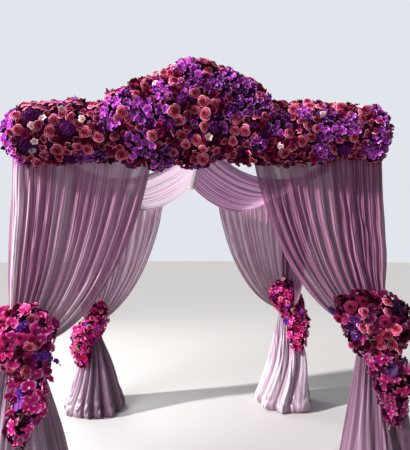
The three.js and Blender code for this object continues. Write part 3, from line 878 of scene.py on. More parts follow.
def ceilingPoints(name, side):
    c = ceiling
    low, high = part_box(f"ceiling_{name}")
    u, v = across(c["cols"]), down(c["rows"])
    seed = 40 + side
    hang = 4 * u * (1 - u)
    warped = np.clip(v + 0.006 * ripple(u * 1.2 + v, seed + 1), 0, 1)
    broad, uneven = FoldPlan(c["folds"], seed, 0.5).at(warped, u, c["valleyWidth"])
    small, smallDepth = FoldPlan(c["fineFolds"], seed + 2, 0.4).at(warped, u)
    fine = small * smallDepth
    depth = c["foldDepth"] * (0.25 + 0.75 * hang) * broad * uneven
    depth = depth + c["fineDepth"] * (1 - 0.5 * hang) * fine
    sag = c["sag"] * (1 + 0.02 * ripple(v * 1.5, seed + 4))
    z = beamHeight + mix(c["overRafter"], c["overBeam"], u) - sag * hang + depth * ease(hang, 0.0, 0.35)
    points = grid(side * mix(0.0003, postHalf, u), mix(low.y, high.y, v), z)
    # painted shade in the folds, by the fold tones and each side's contrast
    folded = c["broadFoldShading"] * broad * (0.5 + 0.5 * hang) * uneven + c["fineFoldShading"] * fine
    tone = c["middleTone"] + c["tone"][side] - c["contrast"][side] * folded      # from below, crests lie deepest
    marks = np.clip(grid(tone, c["sheer"], 25 * np.minimum(v, 1 - v)), 0, 1)
    uv = grid(v * c["clothLength"], u * c["flat"][0])
    return (points, marks, uv) if side < 0 else (points[:, ::-1], marks[:, ::-1], uv[:, ::-1])


for name, side in (("left", -1), ("right", 1)):
    clothPiece(f"{name}_ceiling_swag", ceilingPoints(name, side), ceiling["flat"],
               f"ceiling_{name}", material=swagMaterials[side])
print("ceiling hung")


# Flowers: each kind is made once as arrays, then many turned copies are joined into one mesh

goldenTurn = 137.5


def petalGrid(length, width, cup=0.0, bend=0.0, curl=0.0, ruffle=0.0, columns=4, rows=5, widest=0.6, tip=0.35):
    # one petal from the origin along +Y, facing +Z; bend lifts it, curl turns its rim down
    i, j = 2 * across(columns) - 1, down(rows)
    grow = np.sin(np.clip(j / widest, 0, 1) * math.pi / 2) ** 0.8
    past = np.clip(j - widest, 0, 1) / (1 - widest)
    half = width / 2 * (0.12 + 0.88 * grow) * np.sqrt(np.clip(1 - past ** 2 * (1 - tip ** 2), 0, 1))
    lift = bend * j ** 1.6 - curl * np.clip(j - 0.65, 0, 1) ** 2 / 0.1225
    z = lift * length + cup * width * i ** 2 * grow + ruffle * width * np.sin(5 * i + 3 * j) * j
    points = grid(i * half, length * (j - 0.10 * i ** 2 * j), z).reshape(-1, 3)
    return points, gridQuads(rows, columns), grid((i + 1) / 2, j).reshape(-1, 2)


def turnMatrix(degrees):
    c, s = math.cos(math.radians(degrees)), math.sin(math.radians(degrees))
    return np.array([[c, -s, 0], [s, c, 0], [0, 0, 1]])


class Bloom:
    # a flower under construction: points, faces, petal coordinates, age and material of each part
    def __init__(self, seed):
        self.rng = np.random.default_rng(seed)
        self.parts, self.count = [], 0

    def add(self, points, quads, uv, age, slot):
        self.parts.append((points, quads + self.count, uv, np.broadcast_to(age, (len(points),)),
                           np.full(len(quads), petalNames.index(slot))))
        self.count += len(points)

    def petal(self, slot, length, width, turn, age, rise=0.0, **shape):
        # one turned petal; age is its own all over, or a pair for its base and its rim
        points, quads, uv = petalGrid(length, width, **shape)
        young, old = age if isinstance(age, tuple) else (age, age)
        self.add(points @ turnMatrix(turn).T + (0, 0, rise), quads, uv, mix(young, old, uv[:, 1]), slot)

    def arrays(self):
        return [np.concatenate(part) for part in zip(*self.parts)]


def rose(seed, slot="rosePetal", petals=17, radius=0.045, height=0.034):
    # petals wrap the heart in a spiral, each a little further out, and roll back at the rim
    made = Bloom(seed)
    rng = made.rng
    for k in range(petals):
        t = k / (petals - 1)
        half = mix(1.9, 0.82, t ** 0.6)
        inner = mix(0.0015, 0.016, t) * radius / 0.045
        outer = mix(0.10, 1.0, t ** 1.05) * radius * rng.uniform(0.95, 1.03)
        top = height * mix(1.0, 0.50, t ** 1.4) * rng.uniform(0.96, 1.04)
        i, j = 2 * across(3 if t < 0.3 else 5) - 1, down(4)
        start = math.radians(goldenTurn) * k + rng.uniform(-0.15, 0.15)
        angle = start + half * i * (1 - 0.35 * np.clip(j - 0.5, 0, 1) * i ** 2)
        rim = np.clip(j - 0.70, 0, 1) / 0.30
        r = mix(inner, outer, j ** mix(2.2, 1.25, t)) - 0.10 * outer * i ** 2 * rim
        z = top * np.sin(j * math.pi / 2) ** 0.8 - 0.10 * top * i ** 2 * j - rim ** 2 * mix(0.0005, 0.008, t)
        z = z + 0.0009 * np.sin(3 * i + 2 * k) * j
        made.add(grid(r * np.cos(angle), r * np.sin(angle), z).reshape(-1, 3), gridQuads(4, i.size - 1),
                 grid((i + 1) / 2, j).reshape(-1, 2), t, slot)
    return made.arrays()


def orchid(seed, slot, sepal, petal, lip, cup=0.10, fine=1):
    # three sepals behind two broader petals round a lip; sepal and petal are (length, width)
    made = Bloom(seed)
    rng = made.rng
    for k, degrees in enumerate((90, 210, 330, 158, 22)):
        length, width = sepal if k < 3 else petal
        broad = width > 0.75 * length
        made.petal(slot, length, width, cup=cup * rng.uniform(0.4, 1.2), bend=rng.uniform(0.0, 0.34),
                   curl=rng.uniform(0.02, 0.22), ruffle=0.055 if broad else 0.02,
                   columns=(3 if broad else 2) + fine, rows=3 + fine, widest=0.62 if broad else 0.5,
                   tip=0.4 if broad else 0.25, turn=degrees - 90 + rng.uniform(-6, 6),
                   rise=0.0025 if k > 2 else 0.0, age=(0.35, 1.0))
    for degrees, share in ((270, 1.0), (232, 0.75), (308, 0.75))[:3 if fine > 0 else 1]:
        made.petal("orchidLip", lip * share, 0.8 * lip * share, cup=0.5, bend=0.75, curl=0.3, columns=2, rows=2,
                   turn=degrees - 90, rise=0.004, age=(0.2, 1.0))
    return made.arrays()


def hydrangea(seed, florets=22, radius=0.046):
    # a low dome of four-petalled florets
    made = Bloom(seed)
    rng = made.rng
    for k in range(florets):
        out = 1 - 0.80 * (k + 0.5) / florets
        flat = math.sqrt(1 - out * out)
        turn = math.radians(goldenTurn) * k
        way = np.array([flat * math.cos(turn), flat * math.sin(turn), out])
        lean = facing((way + rng.normal(0, 0.18, 3))[None], rng.uniform(0, 6.28, 1))[0]
        age = rng.uniform(0.1, 1.0)
        for q in range(4):
            points, quads, uv = petalGrid(0.017, 0.018, cup=0.15, bend=rng.uniform(-0.05, 0.3), columns=2, rows=2)
            place = way * (1, 1, 0.75) * radius * rng.uniform(0.88, 1.06)
            made.add(points @ turnMatrix(90 * q).T @ lean.T + place, quads, uv, age, "hydrangea")
    return made.arrays()


def carnation(seed, rings=((8, 0.034, 0.15), (7, 0.028, 0.55), (4, 0.018, 1.1)), width=0.023):
    # rings of cupped petals, each ring (count, length, lift)
    made = Bloom(seed)
    rng = made.rng
    for ring, (count, length, lift) in enumerate(rings):
        for k in range(count):
            made.petal("burgundyPetal", length * rng.uniform(0.88, 1.08), width, cup=0.25, bend=lift, curl=0.10,
                       ruffle=0.06, columns=2, rows=2, widest=0.7, tip=0.75,
                       turn=360 * (k + 0.5 * ring) / count + rng.uniform(-6, 6), rise=0.004 * ring,
                       age=mix(1.0, 0.25, ring / len(rings)))
    return made.arrays()


def blossom(seed, petals=5):
    made = Bloom(seed)
    for k in range(petals):
        made.petal("paleBlossom", 0.024, 0.020, cup=0.18, bend=0.3, curl=0.12, columns=3, rows=4,
                   turn=360 * k / petals + made.rng.uniform(-6, 6), age=(0, 1))
    return made.arrays()


def leafSpray(seed, slot="leaf", length=0.045, width=0.026, leaves=3):
    made = Bloom(seed)
    rng = made.rng
    for _ in range(leaves):
        made.petal(slot, length * rng.uniform(0.8, 1.2), width, cup=-0.25, bend=rng.uniform(0.0, 0.5), curl=0.2,
                   columns=2, rows=3, widest=0.5, tip=0.05, turn=rng.uniform(0, 360), age=rng.uniform(0.2, 1.0))
    return made.arrays()


def bud(seed, slot, length=0.024, radius=0.0075, sides=6):
    # a closed bud: a pointed tube
    made = Bloom(seed)
    j, turn = down(5), around(sides)
    r = radius * np.sin(math.pi * np.clip(j, 0.03, 0.97)) ** 0.7 * (1 + 0.08 * np.cos(3 * turn))
    points = grid(r * np.cos(turn), length * j, r * np.sin(turn)).reshape(-1, 3)
    uv = grid(turn / (2 * math.pi), j).reshape(-1, 2)
    made.add(points @ turnMatrix(made.rng.uniform(0, 360)).T, gridQuads(5, sides, ring=True), uv, uv[:, 1], slot)
    return made.arrays()


def facing(normals, spins):
    # turning matrices whose third column is the way that each copy faces
    n = unit(normals)
    x = unit(np.cross(np.where(np.abs(n[:, 2:3]) < 0.9, [[0, 0, 1.0]], [[1.0, 0, 0]]), n))
    y = np.cross(n, x)
    c, s = np.cos(spins)[:, None], np.sin(spins)[:, None]
    return np.stack([x * c + y * s, -x * s + y * c, n], axis=-1)


smallOrchid = ((0.027, 0.022), (0.028, 0.030), 0.006, 0.22, -1)
kinds = {
    # how it is made, first seed, how many variants, its values
    "rose": (rose, 0, 5),
    "crimsonRose": (rose, 15, 2, "crimsonPetal"),
    "smallRose": (rose, 20, 3, "rosePetal", 9, 0.034, 0.027),
    "crimsonSmall": (rose, 25, 2, "crimsonPetal", 9, 0.033, 0.026),
    "purpleOrchid": (orchid, 30, 5, "purpleOrchid", (0.026, 0.023), (0.028, 0.030), 0.006, 0.22, 0),
    "darkOrchid": (orchid, 35, 3, "darkPurple", *smallOrchid),
    "deepOrchid": (orchid, 38, 2, "purpleOrchid", *smallOrchid),
    "moth": (orchid, 40, 4, "magentaOrchid", (0.046, 0.032), (0.049, 0.058), 0.019),
    "star": (orchid, 50, 3, "magentaOrchid", (0.037, 0.020), (0.037, 0.025), 0.014, 0.1, 0),
    "crimsonOrchid": (orchid, 55, 2, "crimsonPetal", (0.038, 0.027), (0.040, 0.040), 0.012, 0.14, 0),
    "vanda": (orchid, 60, 3, "violetOrchid", (0.037, 0.031), (0.039, 0.040), 0.011),
    "hydrangea": (hydrangea, 70, 3),
    "carnation": (carnation, 80, 3),
    "blossom": (blossom, 90, 3),
    "rosebud": (rose, 95, 2, "paleBlossom", 9, 0.026, 0.030),
    "leaves": (leafSpray, 100, 5),
    "green": (leafSpray, 110, 2, "greenStem", 0.050, 0.012),
    "bud": (bud, 120, 2, "magentaOrchid"),
    "violetBud": (bud, 125, 2, "violetOrchid"),
    "paleBud": (bud, 128, 1, "paleBlossom", 0.030, 0.011),
}
variants = {kind: [make(first + k, *values) for k in range(count)]
            for kind, (make, first, count, *values) in kinds.items()}
print("flower parts ready:", {kind: len(made[0][1]) * 2 for kind, made in variants.items()})


class Heap:
    # collects copies of flowers for one joined mesh
    def __init__(self, rng):
        self.rng, self.parts, self.count = rng, [], 0

    def add(self, points, quads, uv, marks, slots):
        self.parts.append((points, quads + self.count, uv, marks, slots))
        self.count += len(points)

    def copies(self, bloom, places, turns, sizes, tones, shades):
        points, quads, uv, age, slots = bloom
        m, n = len(places), len(points)
        if m == 0:
            return
        moved = np.einsum("mij,nj->mni", turns, points) * sizes[:, None, None] + places[:, None, :]
        marks = grid(age[None, :], tones[:, None], shades[:, None])
        faces = quads[None] + n * np.arange(m)[:, None, None]
        self.add(moved.reshape(-1, 3), faces.reshape(-1, 4), np.tile(uv, (m, 1)), marks.reshape(-1, 3),
                 np.tile(slots, m))

    def plant(self, kind, places, ways, depth, tilt, size, shade, tone=None):
        # copies of one kind at the given places, its variants mixed; size and shade may be ranges
        count, rng = len(places), self.rng
        if count == 0:
            return
        which = rng.integers(0, len(variants[kind]), count)
        bent = unit(ways + tilt * rng.normal(size=ways.shape))
        turns = facing(bent, rng.uniform(0, 2 * math.pi, count))
        sunk = places - bent * (depth + rng.uniform(-0.007, 0.006, count))[:, None]
        sizes = rng.uniform(*size, count) if isinstance(size, tuple) else size
        tones = rng.random(count) if tone is None else tone
        shades = rng.uniform(*shade, count)
        for k, bloom in enumerate(variants[kind]):
            chosen = which == k
            self.copies(bloom, sunk[chosen], turns[chosen], sizes[chosen], tones[chosen], shades[chosen])

    def stem(self, path, radius=0.0022, sides=5):
        # a thin round stem through the points of path
        turns = facing(np.gradient(path, axis=0), np.zeros(len(path)))
        angle = around(sides)[0]
        ring = grid(np.cos(angle), np.sin(angle), 0) * radius
        points = (np.einsum("mij,nj->mni", turns, ring) + path[:, None, :]).reshape(-1, 3)
        uv = grid(angle[None, :] / (2 * math.pi), down(len(path) - 1)).reshape(-1, 2)
        quads = gridQuads(len(path) - 1, sides, ring=True)
        self.add(points, quads, uv, np.full((len(points), 3), 0.6),
                 np.full(len(quads), petalNames.index("greenStem")))

    def mesh(self, name):
        return quadMesh(name, *(np.concatenate(part) for part in zip(*self.parts)))


class Spacing:
    # remembers where flowers stand, in a coarse grid, so that new ones keep clear
    def __init__(self, cell=0.10):
        self.cell, self.cells = cell, {}

    def keyOf(self, p):
        return tuple(int(math.floor(x / self.cell)) for x in p)

    def isFree(self, p, radius):
        x, y, z = self.keyOf(p)
        near = ((x + dx, y + dy, z + dz) for dx in (-1, 0, 1) for dy in (-1, 0, 1) for dz in (-1, 0, 1))
        return all(sum((a - b) ** 2 for a, b in zip(p, q)) >= (radius + r) ** 2
                   for key in near for q, r in self.cells.get(key, ()))

    def put(self, p, radius):
        self.cells.setdefault(self.keyOf(p), []).append((tuple(p), radius))

    def choose(self, places, radius, allow=None, limit=None):
        taken = []
        for k, p in enumerate(places):
            if limit is not None and len(taken) >= limit:
                break
            if (allow is None or allow[k]) and self.isFree(p, radius):
                self.put(p, radius)
                taken.append(k)
        return taken


# The shapes that the flowers grow on: the nodes' own surfaces, with the garland's edges trimmed

garlandTrim = {
    # how far the flowers' top and bottom lines stand from the solid's, as (x, rise)
    "top": [(-1.33, 0.027), (-1.18, 0), (-1.07, 0.01), (-0.95, 0.01), (-0.87, 0.05), (-0.79, 0.007), (-0.71, 0),
            (-0.64, 0.03), (-0.56, -0.05), (-0.43, -0.055), (-0.32, -0.05), (-0.24, 0), (-0.16, 0.035),
            (-0.08, 0.047), (0.0, 0.057), (0.08, 0.03), (0.16, 0.02), (0.24, -0.01), (0.33, 0.016), (0.41, 0.08),
            (0.49, 0.04), (0.57, 0.058), (0.74, 0.06), (0.87, 0.04), (0.99, 0.05), (1.08, 0.02), (1.16, 0.047),
            (1.28, 0.06)],
    "bottom": [(-1.16, 0), (-0.99, 0.02), (-0.9, 0.042), (-0.81, 0.033), (-0.73, 0.035), (-0.64, 0.06),
               (-0.55, 0.055), (-0.46, 0.04), (-0.38, 0.05), (-0.29, -0.005), (-0.2, 0.065), (-0.11, 0.05),
               (-0.02, 0.03), (0.07, 0.085), (0.16, 0.115), (0.25, 0.06), (0.34, 0.06), (0.44, 0.033),
               (0.62, 0.033), (0.72, 0.05), (0.81, 0.057), (0.9, 0.067), (1.0, 0.095), (1.09, 0.098), (1.19, 0.03)],
    "lowest": 2.49, "sliced": (-1.27, 1.28), "slice": 0.06, "endFrom": 1.25, "endShare": 0.20,
}
garlandNodes = ("garland_left", "garland_crest", "garland_right")


def nodeArrays(node):
    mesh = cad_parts[node].data
    mesh.calc_loop_triangles()
    points = np.empty((len(mesh.vertices), 3))
    mesh.vertices.foreach_get("co", points.ravel())
    triangles = np.empty((len(mesh.loop_triangles), 3), np.int32)
    mesh.loop_triangles.foreach_get("vertices", triangles.ravel())
    return points, triangles


def topLine():
    points = np.concatenate([nodeArrays(node)[0] for node in garlandNodes])
    middles = np.arange(*garlandTrim["sliced"], garlandTrim["slice"])
    highest = [points[np.abs(points[:, 0] - x) < garlandTrim["slice"]][:, 2].max() for x in middles]
    return middles, np.array(highest)


topSlices = topLine()


def trimmed(points):
    x, z = points[:, 0], points[:, 2]
    low = garlandTrim["lowest"]
    share = np.clip((z - low) / (np.interp(x, *topSlices) - low), 0, 1)
    rise = mix(np.interp(x, *zip(*garlandTrim["bottom"])), np.interp(x, *zip(*garlandTrim["top"])), share)
    shorter = garlandTrim["endShare"] * np.clip(x - garlandTrim["endFrom"], 0, None)
    return points + grid(-shorter, 0, rise)


def shapeOf(node):
    points, triangles = nodeArrays(node)
    if node in garlandNodes:
        return trimmed(points), triangles
    if node.startswith("bouquet_"):
        return drawnIn(points, triangles, node.removeprefix("bouquet_")), triangles
    return points, triangles


def treeOf(shapes):
    points, triangles = [], []
    for p, t in shapes:
        triangles += (t + len(points)).tolist()
        points += p.tolist()
    return BVHTree.FromPolygons(points, triangles)


def smoothNormals(points, triangles):
    a, b, c = (points[triangles[:, k]] for k in range(3))
    total = np.zeros_like(points)
    for k in range(3):
        np.add.at(total, triangles[:, k], np.cross(b - a, c - a))
    return unit(total)


otherNodes = [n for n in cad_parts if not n.startswith(("garland", "post_", "bouquet"))]


def openSurface(node, count, rng, clearance, ownClearance=0.30):
    # points spread over a node where nothing stands close in front of them, and the ways they face
    points, triangles = shapeOf(node)
    a, b, c = (points[triangles[:, k]] for k in range(3))
    normals = np.cross(b - a, c - a)
    size = np.linalg.norm(normals, axis=1)
    pick = rng.choice(len(size), count, p=size / size.sum())
    u, v = rng.random((2, count, 1))
    u, v = np.where(u + v > 1, 1 - u, u), np.where(u + v > 1, 1 - v, v)
    places = a[pick] + u * (b[pick] - a[pick]) + v * (c[pick] - a[pick])
    ways = normals[pick] / size[pick, None]
    own, others = treeOf([(points, triangles)]), treeOf([nodeArrays(n) for n in otherNodes])
    keep = []
    for k in range(count):
        start, way = Vector(places[k] + 0.002 * ways[k]), Vector(ways[k])
        if own.ray_cast(start, way, ownClearance)[0] is None and others.ray_cast(start, way, clearance)[0] is None:
            keep.append(k)
    smooth = smoothNormals(points, triangles)[triangles[pick]]
    blended = smooth[:, 0] * (1 - u - v) + smooth[:, 1] * u + smooth[:, 2] * v + 0.5 * ways
    return places[keep], unit(blended)[keep]


def rayThrough(u, v):
    # the direction from the camera through a pixel of the 410 x 450 picture
    turn, up = math.radians(camera["turnRight"]), math.radians(camera["lookUp"])
    ahead = Vector((math.sin(turn) * math.cos(up), math.cos(turn) * math.cos(up), math.sin(up)))
    right = Vector((math.cos(turn), -math.sin(turn), 0))
    focal = camera["focal"] * camera["pictureHeight"]
    rightward, downward = (u - camera["pictureWidth"] / 2) / focal, (v - camera["pictureHeight"] / 2) / focal
    return (ahead + right * rightward - right.cross(ahead) * downward).normalized()


def onSurface(tree, u, v, reach=0.015):
    # where a pixel's ray meets a surface, or the nearest point of it, with its way and the size of a pixel
    eye, ray = Vector(camera["eye"]), rayThrough(u, v)
    place, normal, _, distance = tree.ray_cast(eye, ray)
    if place is None:
        distance = (tree.find_nearest(eye + ray * 3)[0] - eye).dot(ray)
        near = eye + ray * distance
        place, normal, _, gap = tree.find_nearest(near)
        place = place.lerp(near, min(1, reach / gap))
    way = (normal - 0.45 * ray).normalized()
    return np.array(place), np.array(way), distance / (camera["focal"] * camera["pictureHeight"])


spotSeats = {
    # how deep each kind sits when placed at listed spots, the room that it keeps, and how much it tilts
    "rose": (0.010, 0.030, 0.25), "crimsonRose": (0.010, 0.030, 0.25), "rosebud": (0.0, 0.018, 0.25),
    "blossom": (-0.010, 0.014, 0.35), "hydrangea": (0.020, 0.034, 0.35), "moth": (-0.006, 0.026, 0.35),
    "star": (-0.004, 0.018, 0.35), "crimsonOrchid": (-0.002, 0.022, 0.35), "vanda": (-0.002, 0.024, 0.35),
    "carnation": (0.0, 0.022, 0.35), "green": (0.0, 0.010, 0.35), "leaves": (-0.005, 0.012, 0.35),
}
# a limit on the painted shade of roses
roseShade = (0.40, 0.80)      # a rose is never darker than this


def plantSpots(heap, spots, tree, spacing, shade):
    # flowers at named places of the picture; a spot is (kind, size, [(u, v), ...])
    for kind, size, pixels in spots:
        places, ways, _ = (np.array(part) for part in zip(*(onSurface(tree, u, v) for u, v in pixels)))
        depth, room, tilt = spotSeats[kind]
        sizes = size * heap.rng.uniform(0.94, 1.06, len(places))
        lit = tuple(max(pair) for pair in zip(roseShade, shade)) if kind == "rose" else shade
        heap.plant(kind, places, ways, depth, tilt, sizes, lit)
        for place in places:
            spacing.put(place, room * size)


spray = {
    "startDepth": 0.03, "standOff": 0.022, "mostStep": 0.03,      # where the stem runs, as seen from the camera
    "seat": -0.006, "tilt": 0.35, "endSeat": -0.004, "endTilt": 0.5, "taper": 0.75,
}


def plantSpray(heap, tree, shade, kind, last, size, pixels):
    # a stem that starts inside the bouquet and hangs through places of the picture, with flowers along it
    eye = Vector(camera["eye"])
    start, way, _ = onSurface(tree, *pixels[0])
    path, distance = [start - spray["startDepth"] * way], (Vector(start) - eye).length
    for u, v in pixels:
        place, _, _, hit = tree.ray_cast(eye, rayThrough(u, v))
        if place is not None:
            distance = min(hit - spray["standOff"], distance + spray["mostStep"])
        path.append(np.array(eye + rayThrough(u, v) * distance))
    path = np.array(path)
    along = np.linspace(0, len(path) - 1, 5 * len(path))
    smooth = grid(*(np.interp(along, np.arange(len(path)), path[:, k]) for k in range(3)))
    smooth[1:-1] = (smooth[:-2] + 2 * smooth[1:-1] + smooth[2:]) / 4
    heap.stem(smooth)
    toEye = unit(np.array(eye) - path[1:])
    sizes = size * np.linspace(1.0, spray["taper"], len(pixels))
    heap.plant(kind, path[1:-1], toEye[:-1], spray["seat"], spray["tilt"], sizes[:-1], shade)
    heap.plant(last, path[-1:], toEye[-1:], spray["endSeat"], spray["endTilt"], sizes[-1:], shade)


def flowerPiece(node, heap, inset):
    # the joined flowers, over a dark core that lies inset below the surface, coloured as painted shade between them
    mesh = heap.mesh(node + "_flowers")
    piece = addObject(node + "_flowers", mesh, petalMaterials)
    points, triangles = shapeOf(node)
    core = bpy.data.meshes.new(node + "_foam")
    core.from_pydata((points - inset * smoothNormals(points, triangles)).tolist(), [], triangles.tolist())
    for part in (piece, addObject(node + "_foam", core, [foamMaterial])):
        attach(part, "root")
    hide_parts(node)
    print(node, "planted,", len(mesh.polygons) * 2, "triangles")


# Garland: one run of flowers along the front beam, in three parts

garlandLook = {
    # flowers at places in the 410 x 450 picture: kind, size, [(u, v), ...]
    "spots": [
        ("rose", 1.12, [(40, 107.5), (174, 82), (174, 111), (178.6, 120), (203, 102), (205.5, 114.7), (93.5, 105),
                        (38, 162), (203, 158.6), (340.8, 107.6), (121.6, 154.6), (57.5, 149)]),
        ("rose", 0.98, [(16, 116), (27, 106), (54, 102), (83, 102), (53.6, 120), (18, 130), (78, 124.5), (98, 137),
                        (85, 132), (87.6, 149), (122, 112), (151.6, 135.6), (194.8, 93), (236, 119.6), (245, 130.4),
                        (196.4, 140.4), (152.5, 135.4), (208, 70), (156, 74), (293.4, 110), (308.7, 125.5),
                        (289.3, 133), (302.5, 140.8), (284.7, 153), (367, 106), (361.7, 119.4), (260.7, 95.5),
                        (274, 108), (182, 136), (222, 68), (50, 131), (20, 158.5), (203, 61.6), (330.6, 106)]),
        ("rose", 0.82, [(117.6, 119), (114.4, 136), (158, 146), (185.7, 144), (216, 150.7), (173, 152), (215.5, 103),
                        (195, 110), (233, 141), (203, 148.7), (235, 130.4), (292.9, 147), (367, 133.7), (354, 137),
                        (333.7, 149), (363, 155), (145, 87), (136, 94), (181.5, 83), (204, 127), (307, 102),
                        (78.4, 146), (44.4, 154.6), (316.3, 128.6), (351, 116), (252.8, 160), (224.6, 157)]),
        ("rosebud", 1.1, [(31, 126), (82, 119), (31.4, 150), (174.9, 67.4), (156, 84), (322, 115), (280.6, 146)]),
        ("blossom", 1.1, [(61, 109.5), (34.6, 140), (76, 98.4), (43, 119), (361, 105), (209, 137)]),
        ("hydrangea", 1.05, [(66.7, 128.4), (31, 117), (26, 145), (168, 124), (180, 98), (150, 126), (232, 108),
                             (212, 128), (320, 140), (346, 147), (268, 131), (130, 163), (72, 158)]),
    ],
    # purple drifts: u, v, radius in pixels, tone 0 deep to 1 bright; the tone is partly the flowers' own colour and
    # partly painted light, brighter where a drift stands in the sun
    "drifts": [
        (1, 122, 12, 0.95), (3, 142, 13, 0.9), (8, 158, 9, 0.9), (6, 112, 7, 0.8), (65, 103, 5, 0.5),
        (76, 98, 4, 0.9), (108.5, 94.4, 7, 0.8), (117, 100, 8, 0.8), (106.5, 111, 6, 1.0), (107, 122, 7, 1.0),
        (126, 103, 9, 0.7), (138.6, 105, 6, 1.0), (142.5, 115.5, 8, 0.5), (154, 106, 6, 0.5),
        (156, 118, 5, 0.9), (161, 91, 8, 1.0), (187, 66, 10, 0.8), (191, 83, 9, 0.7), (199, 75, 6, 1.0),
        (220.5, 83, 10, 0.2), (233, 77, 9, 0.8), (245, 84, 8, 0.3), (250, 96, 11, 0.3), (243, 107, 8, 0.2),
        (262, 105, 8, 0.3), (162, 108, 4, 0.8), (100, 155, 6, 0.4), (86, 155, 6, 0.3), (138.6, 144, 11, 0.7),
        (279.6, 121.4, 9, 0.4), (304, 113, 6, 0.4), (332.6, 127, 10, 0.6), (327, 115, 6, 0.3),
        (352, 123.5, 7, 0.4), (381.6, 113, 8, 0.5), (385, 134, 7, 0.3), (377.5, 148, 9, 0.7),
        (325.5, 154, 6, 0.5), (321, 145, 5, 0.2), (258, 144.5, 6, 0.5), (223, 119, 8, 0.2),
        (162.4, 158.6, 10, 0.3), (197, 167, 6, 0.5), (190, 122, 4, 0.4),
    ],
    "driftGrow": 1.30, "patchesFrom": 0.42,      # purple patches also grow at the back
    "spotShade": (0.45, 0.85),
    # how much of the plain ground takes small roses, along x
    "rosyShare": [(-1.3, 0.8), (-0.6, 0.75), (-0.45, 0.5), (-0.1, 0.22), (0.4, 0.20), (0.7, 0.3), (1.3, 0.35)],
    # the rest, in the order of planting: kind, area, room, depth, tilt, sizes, shades; the shades vary at random and
    # are lower for flowers set deep among the others, as painted shade
    "fill": [
        ("smallRose", "rosy back", 0.030, 0.008, 0.2, (1.0, 1.3), (0.35, 0.8)),
        ("rose", "crown", 0.034, 0.012, 0.2, (0.85, 1.05), (0.45, 0.9)),
        ("smallRose", "rosy front", 0.025, 0.008, 0.3, (0.85, 1.1), (0.25, 0.8)),
        ("crimsonSmall", "rosy", 0.025, 0.010, 0.3, (0.85, 1.1), (0.1, 0.6)),
        # painted shade: the lower layer of purple is set darker
        ("deepOrchid", "purple", 0.017, 0.014, 0.6, (1.0, 1.3), (0.05, 0.40)),
        ("purpleOrchid", "purple", 0.0172, -0.003, 0.55, (0.85, 1.2), (0.25, 0.95)),
        ("carnation", "plain", 0.021, 0.008, 0.3, (0.85, 1.15), (0.2, 0.9)),
        ("darkOrchid", "plain", 0.014, 0.010, 0.5, (0.8, 1.1), (0.2, 0.9)),
        ("leaves", "all", 0.032, 0.022, 0.3, (0.9, 1.2), (0.2, 0.8)),
    ],
    "layers": ("deepOrchid", "purpleOrchid", "leaves"),      # these keep clear of their own kind alone
    "candidates": 11000, "clearance": 0.03, "crownDepth": 0.02, "inset": 0.030,
}


def garlandFlowers(node, index, tree, drifts):
    look, rng = garlandLook, np.random.default_rng(500 + index)
    places, ways = openSurface(node, look["candidates"], rng, look["clearance"])
    low, high = places[:, 0].min(), places[:, 0].max()
    heap, spacing = Heap(rng), Spacing()
    spots = [(kind, size, [p for p in pixels if low <= onSurface(tree, *p)[0][0] < high])
             for kind, size, pixels in look["spots"]]
    plantSpots(heap, [spot for spot in spots if spot[2]], tree, spacing, look["spotShade"])
    front = ways[:, 1] < 0.2
    tone = np.full(len(places), -1.0)      # of the purple drifts, below 0 outside them
    for centre, radius, value in drifts:
        tone[np.linalg.norm(places - centre, axis=1) < radius] = value
    patches = ripple(places[:, 0] * 1.1 + places[:, 2] * 1.7 + places[:, 1], 77)
    tone = np.where(~front & (tone < 0) & (patches > look["patchesFrom"]), rng.uniform(0.2, 0.9, len(places)), tone)
    plain = tone < 0
    rosy = plain & (rng.random(len(places)) < np.interp(places[:, 0], *zip(*look["rosyShare"])))
    crown = places[:, 2] > np.interp(places[:, 0], *topSlices) - look["crownDepth"]
    areas = {"rosy back": rosy & ~front, "crown": plain & front & crown, "rosy front": rosy & front, "rosy": rosy,
             "purple": ~plain, "plain": plain, "all": None}
    for kind, area, room, depth, tilt, size, shade in look["fill"]:
        isLayer = kind in look["layers"]
        picks = (Spacing() if isLayer else spacing).choose(places, room, areas[area])
        tones = None
        # painted shade: the lower layer takes darker purple
        if kind == "deepOrchid":
            tones = tone[picks] * 0.3
        if kind == "purpleOrchid":
            tones = np.clip(tone[picks] + rng.normal(0, 0.25, len(picks)), 0, 1)
        heap.plant(kind, places[picks], ways[picks], depth, tilt, size, shade, tones)
    flowerPiece(node, heap, look["inset"])


garlandTree = treeOf([shapeOf(node) for node in garlandNodes])
drifts = []
for u, v, radius, tone in garlandLook["drifts"]:
    place, _, pixel = onSurface(garlandTree, u, v)
    drifts.append((place, garlandLook["driftGrow"] * radius * pixel, tone))
for index, node in enumerate(garlandNodes):
    garlandFlowers(node, index, garlandTree, drifts)


# Bouquets: one over each tie, with stems that hang from it

